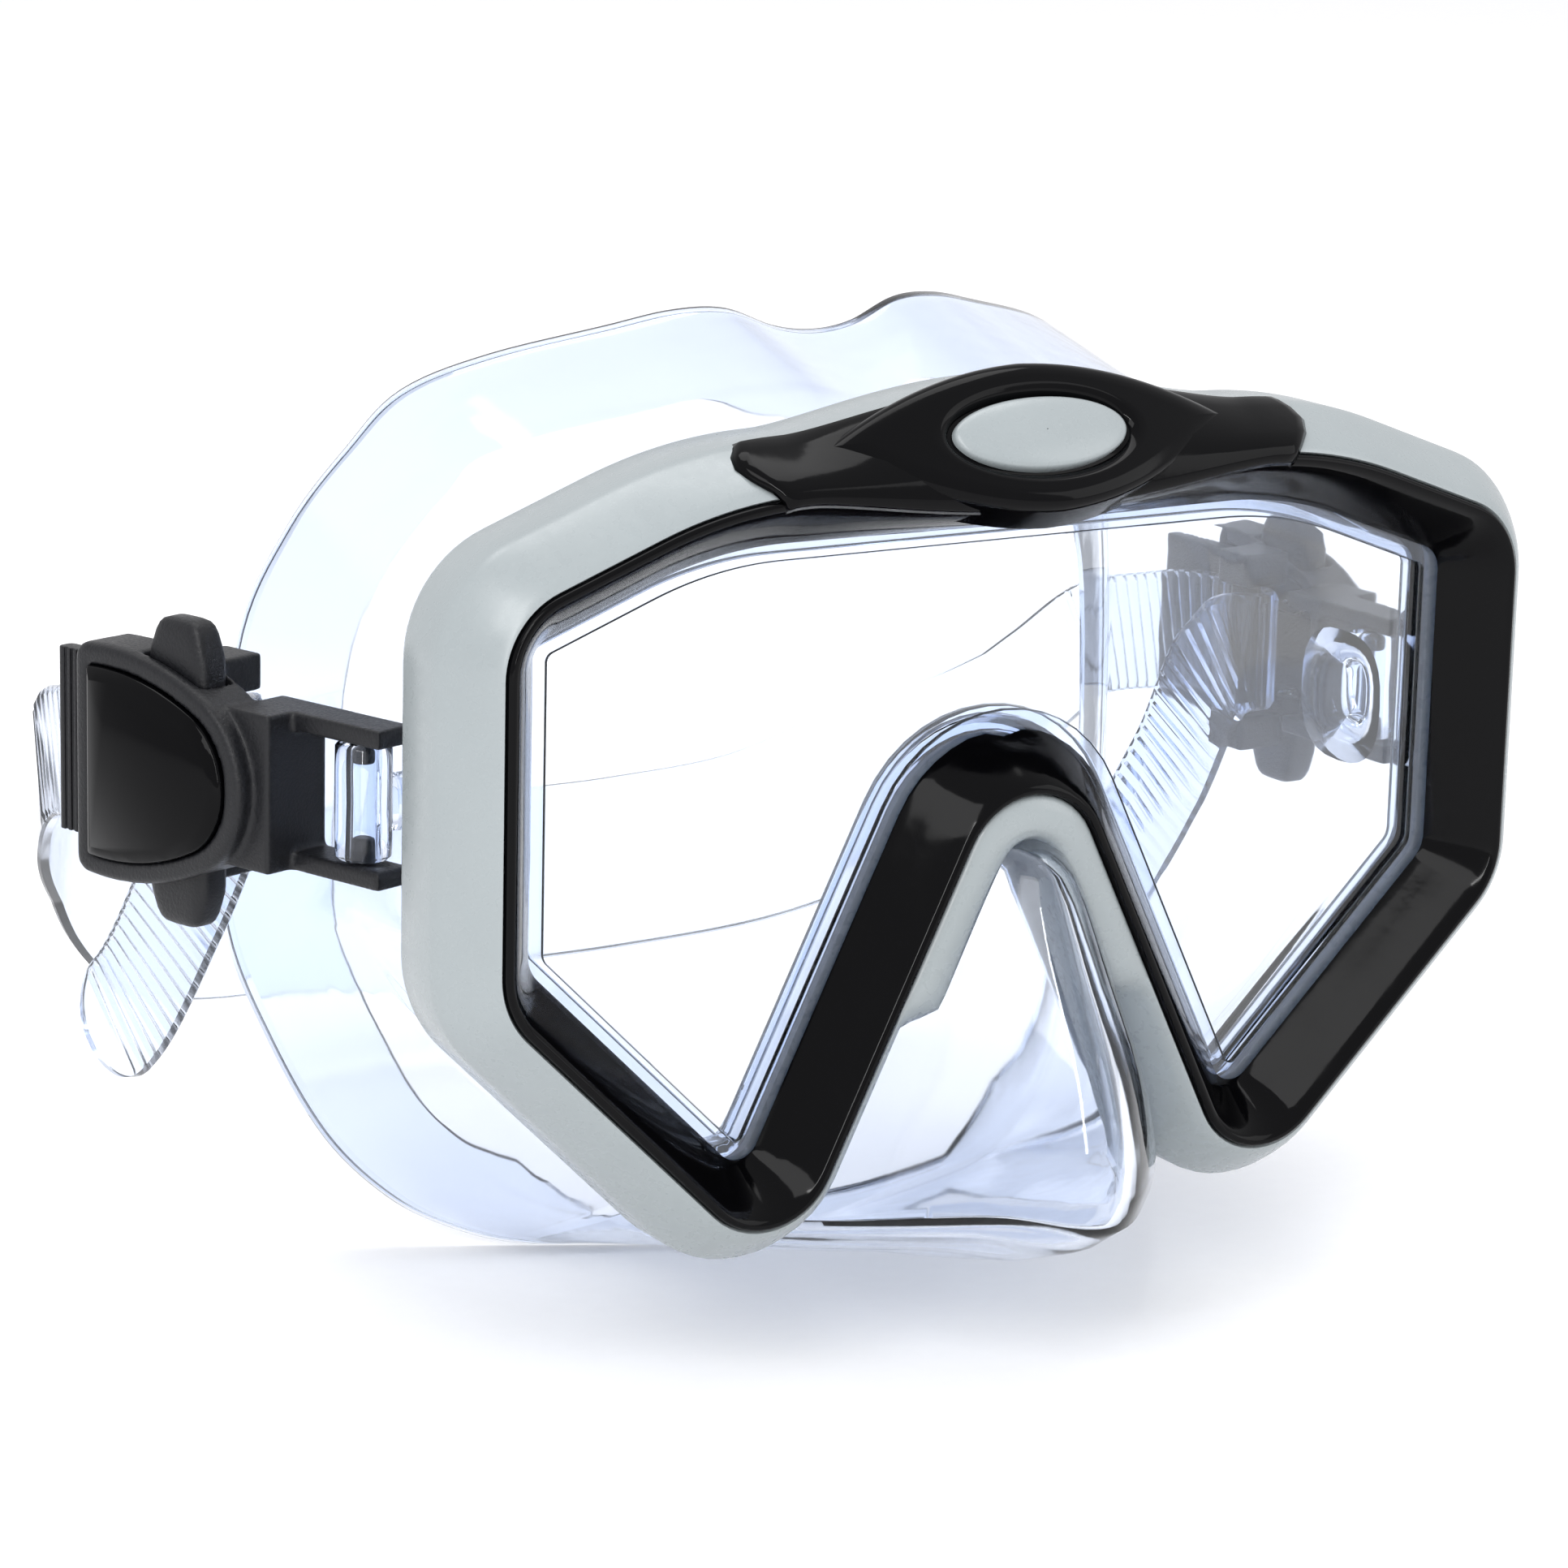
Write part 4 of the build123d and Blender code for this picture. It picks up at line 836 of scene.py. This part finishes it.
for side in ("left", "right"):
    black, buckle = (spark_acetal, "buckle_black"), f"{side}_buckle"
    softened(f"{side}_buckle_body", *black, buckle, voxel_mm=0.3)
    softened(f"{side}_buckle_cap", cap_black, "cap_black", buckle, 0.3, segments=3)
    softened(f"{side}_strap_guide", *black, buckle, 0.15)
    softened(f"{side}_strap_roller", *black, f"{side}_roller", 0.2)
    softened(f"{side}_lock_pawl", *black, f"{side}_pawl", 0.12)
    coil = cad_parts[f"{side}_button_spring"]
    coil.data.materials.clear()
    coil.data.materials.append(spring_steel)
print("buckles softened")

# %% [markdown]
# ## Push buttons
# Two buttons stand out of each buckle, above and below, and are squeezed together to let the
# strap run. Each is built in rows from the shell to the finger: squarish where it slides in the
# shell, then narrower and rounder. The left buckle rests splayed out, the right one turned in.

# %% Push buttons
SIDES = (("left", -1, 18.0), ("right", 1, -2.0))  # name, sign of x, splay in degrees


def buckle_point(side, splay, s, t):
    """Plan point of a buckle: s along the strap, t outward."""
    a = radians(splay)
    x = side * HINGE_X + s * side * sin(a) + t * side * cos(a)
    y = HINGE_Y + s * cos(a) - t * sin(a)
    return x, y


BUTTON_S, BUTTON_T = 25.5, 5.5
BUTTON_ROWS = [
    (8.4, 1.0, 1.0), (14.2, 1.0, 1.0), (15.2, 0.97, 1.0), (16.6, 0.88, 0.97), (18.0, 0.79, 0.9),
    (18.9, 0.7, 0.8), (19.4, 0.6, 0.68), (19.7, 0.42, 0.48), (19.75, 0.02, 0.02)]
BUTTON_HALF, BUTTON_DEEP, BUTTON_SQUARE = 5.2, 2.55, 0.45


def wedge_button(name, side, splay, up, body):
    """A push button: wide at the shell, narrower and round at the finger."""
    a = np.linspace(0, 2 * pi, 40, endpoint=False)
    corner_s, corner_t = squarish(np.cos(a), BUTTON_SQUARE), squarish(np.sin(a), BUTTON_SQUARE)
    rows = []
    for z, wide, deep in BUTTON_ROWS:
        s, t = BUTTON_S + BUTTON_HALF * wide * corner_s, BUTTON_T + BUTTON_DEEP * deep * corner_t
        x, y = buckle_point(side, splay, s, t)
        rows.append(np.column_stack([x, y, np.full(len(a), HINGE_Z + up * z)]))
    faces = grid_faces(len(rows), len(a), False, True)
    made = piece(f"{name}_moulding", np.concatenate(rows), faces, spark_acetal, 60)
    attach(made, body)
    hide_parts(name)


for word, side, splay in SIDES:
    wedge_button(f"{word}_upper_button", side, splay, 1, f"{word}_upper_push")
    wedge_button(f"{word}_lower_button", side, splay, -1, f"{word}_lower_push")
print("buttons:", len(BUTTON_ROWS), "rows each")

# %% [markdown]
# ## The strap
# The strap is one clear moulding: narrow ribbed arms that thread the buckles, and a wide plain
# band behind the head. It is made as two halves that meet at the back.

# %% Strap route
def plan_curve(points, spacing=0.8):
    """A smooth plan curve through points, resampled evenly."""
    p = np.array(points, float)
    ends = np.vstack([2 * p[0] - p[1], p, 2 * p[-1] - p[-2]])
    fine = []
    for i in range(1, len(p)):
        a, b, c, d = ends[i - 1], ends[i], ends[i + 1], ends[i + 2]
        ta = np.linalg.norm(b - a) ** 0.5
        tb = ta + np.linalg.norm(c - b) ** 0.5
        tc = tb + np.linalg.norm(d - c) ** 0.5
        for t in np.linspace(ta, tb, 24, endpoint=False):
            a1 = (ta - t) / ta * a + t / ta * b
            a2 = (tb - t) / (tb - ta) * b + (t - ta) / (tb - ta) * c
            a3 = (tc - t) / (tc - tb) * c + (t - tb) / (tc - tb) * d
            b1 = (tb - t) / tb * a1 + t / tb * a2
            b2 = (tc - t) / (tc - ta) * a2 + (t - ta) / (tc - ta) * a3
            fine.append((tb - t) / (tb - ta) * b1 + (t - ta) / (tb - ta) * b2)
    fine = np.array(fine + [p[-1]])
    run = np.concatenate([[0], np.cumsum(np.linalg.norm(np.diff(fine, axis=0), axis=1))])
    at = np.arange(0, run[-1], spacing)
    return np.column_stack([np.interp(at, run, fine[:, k]) for k in range(fine.shape[1])]), at


ROLLER_S, TURN = 26.0, 3.1


def strap_half(side, splay, band_corner):
    """One half of the strap: free tail, turn round the roller, ribbed arm, wide band."""
    front = ROLLER_S - TURN * 0.1
    tail = [(58, -7.6), (49, -6.6), (38, -5.5), (29.5, -5.1)]
    turn = [(front - 1.4, -4.75), (front - 2.7, -3.4), (front - 3.05, -2.0), (front - 2.7, -0.55),
            (front - 1.4, 0.75)]
    arm = [(29.5, 1.1), (41, 1.1), (51, 1.1)]
    plan = [buckle_point(side, splay, s, t) for s, t in tail + turn + arm]
    heights = [-50.0, -42.0, -25.0, -9.5] + [HINGE_Z] * 6 + [HINGE_Z - 0.3, HINGE_Z - 2.5]
    points = [(x, y, z) for (x, y), z in zip(plan, heights)] + band_corner
    return plan_curve(points, 0.4)


LEFT_BAND = [(-92.5, 38.0, -11.0), (-89.0, 48.0, -18.5), (-83.0, 58.0, -27.0), (-74.0, 69.0, -36.0),
             (-62.0, 79.0, -44.0), (-46.0, 88.0, -50.0), (-26.0, 94.5, -52.5), (0.0, 97.0, -53.0)]
RIGHT_BAND = [(75.5, 43.0, -12.0), (73.5, 55.0, -21.0), (69.0, 67.0, -31.0), (60.0, 79.0, -41.0),
              (46.0, 88.5, -49.0), (25.0, 95.0, -52.5), (0.0, 97.0, -53.0)]
RIB_PITCH, RIB_HEIGHT, RIBBED = 2.4, 0.55, 112.0
ARM_HALF, BAND_HALF, HALF_THICK = 8.5, 13.5, 0.8


def strap_mesh(name, route, at, side):
    """Ribbon with rounded edges, ribs on the arm and a rounded free end."""
    count = len(route)
    forward = np.gradient(route, axis=0)
    forward /= np.linalg.norm(forward, axis=1)[:, None]
    up = np.array([0, 0, 1.0]) - forward * forward[:, 2:3]
    up /= np.linalg.norm(up, axis=1)[:, None]
    out = np.cross(forward, up)
    total = at[-1]
    wide = np.interp(at, [0, total - 95, total - 62, total],
                     [ARM_HALF, ARM_HALF, BAND_HALF, BAND_HALF])
    end = np.clip(at / ARM_HALF, 0, 1)
    wide = wide * np.sqrt(1 - (1 - end) ** 2 * 0.98)
    fade = np.clip((RIBBED - at) / 4, 0, 1) * np.clip((at - 4) / 3, 0, 1)
    rib = np.maximum(np.sin(2 * pi * at / RIB_PITCH), 0) ** 0.7 * fade
    section = [(-1, -0.45), (-0.97, -1), (-0.86, -1.0), (0.86, -1.0), (0.97, -1), (1, -0.45),
               (1, 0.45), (0.97, 1), (0.86, 1.0), (0.86, 1.0), (-0.86, 1.0), (-0.97, 1)]
    rows = []
    for across, through in section:
        ribbed = RIB_HEIGHT * rib * (through * side > 0.9) * (abs(across) < 0.9)
        thick = (HALF_THICK + ribbed) * through
        rows.append(route + up * (wide * across)[:, None] + out * thick[:, None])
    points = np.stack(rows, axis=1)
    around = len(section)
    ends = [tuple(range(around)), tuple(range((count - 1) * around, count * around))]
    faces = grid_faces(count, around, False, True) + ends
    return piece(name, points.reshape(-1, 3), faces, strap_pvc, 40)


for (name, side, splay), corner in zip(SIDES, (LEFT_BAND, RIGHT_BAND)):
    route, at = strap_half(side, splay, corner)
    half = strap_mesh(f"{name}_strap_half", route, at, side)
    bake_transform(half)
    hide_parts("strap")
    print(name, "strap half:", round(at[-1]), "mm")

# %% [markdown]
# ## Floor and studio light
# A pale floor runs on under the mask, and a white sky, three large soft boxes and a narrow
# strip light it, as in a product booth. Large lamps give long soft highlights on gloss black, and
# the strip draws a crisp one.

# %% Floor and lights
floor_mesh = bpy.data.meshes.new("floor")
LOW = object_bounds()[0].z - 0.0004
floor_mesh.from_pydata([(-6, -6, LOW), (6, -6, LOW), (6, 6, LOW), (-6, 6, LOW)], [], [(0, 1, 2, 3)])
floor = bpy.data.objects.new("floor", floor_mesh)
bpy.context.scene.collection.objects.link(floor)
paper, tree = new_material("white_paper_sweep")
place = node(tree, "ShaderNodeTexCoord").outputs["Object"]
fibre = node(tree, "ShaderNodeTexNoise", Vector=place, Scale=1 / (3 * MM), Detail=3.0)
white = node(tree, "ShaderNodeMix", {"data_type": "RGBA"}, Factor=fibre.outputs["Fac"],
             _6=linear("#FBFBFC"), _7=linear("#FFFFFF"))
matte = node(tree, "ShaderNodeBsdfPrincipled", Base_Color=white.outputs[2], Roughness=0.9)
node(tree, "ShaderNodeOutputMaterial", Surface=matte.outputs["BSDF"])
floor_mesh.materials.append(paper)


def soft_box(name, place_m, size_m, watts, aim=(-0.01, 0.0, -0.01)):
    """A large square lamp aimed at the mask."""
    lamp = bpy.data.objects.new(name, bpy.data.lights.new(name, "AREA"))
    lamp.data.shape, lamp.data.size, lamp.data.size_y = "RECTANGLE", size_m[0], size_m[1]
    lamp.data.energy = watts
    lamp.location = place_m
    lamp.rotation_mode = "QUATERNION"
    lamp.rotation_quaternion = (Vector(aim) - Vector(place_m)).to_track_quat("-Z", "Y")
    bpy.context.scene.collection.objects.link(lamp)


soft_box("key soft box", (-0.9, -0.7, 1.0), (0.8, 0.8), 9)
soft_box("fill soft box", (1.0, -0.9, 0.5), (0.6, 0.9), 3)
soft_box("top strip", (0.1, 0.2, 1.1), (1.2, 0.4), 5)
soft_box("edge strip", (-0.75, -1.1, 0.45), (0.06, 0.9), 5)
world = bpy.data.worlds.new("white booth")
bpy.context.scene.world = world
world.use_nodes = True
world.node_tree.nodes["Background"].inputs["Color"].default_value = linear("#FDFDFF")
world.node_tree.nodes["Background"].inputs["Strength"].default_value = 0.95
scene = bpy.context.scene
scene.view_settings.view_transform = "Standard"
scene.cycles.max_bounces = 32
scene.cycles.transmission_bounces = 32
scene.cycles.transparent_max_bounces = 32
print("floor at", round(LOW, 4), "m")
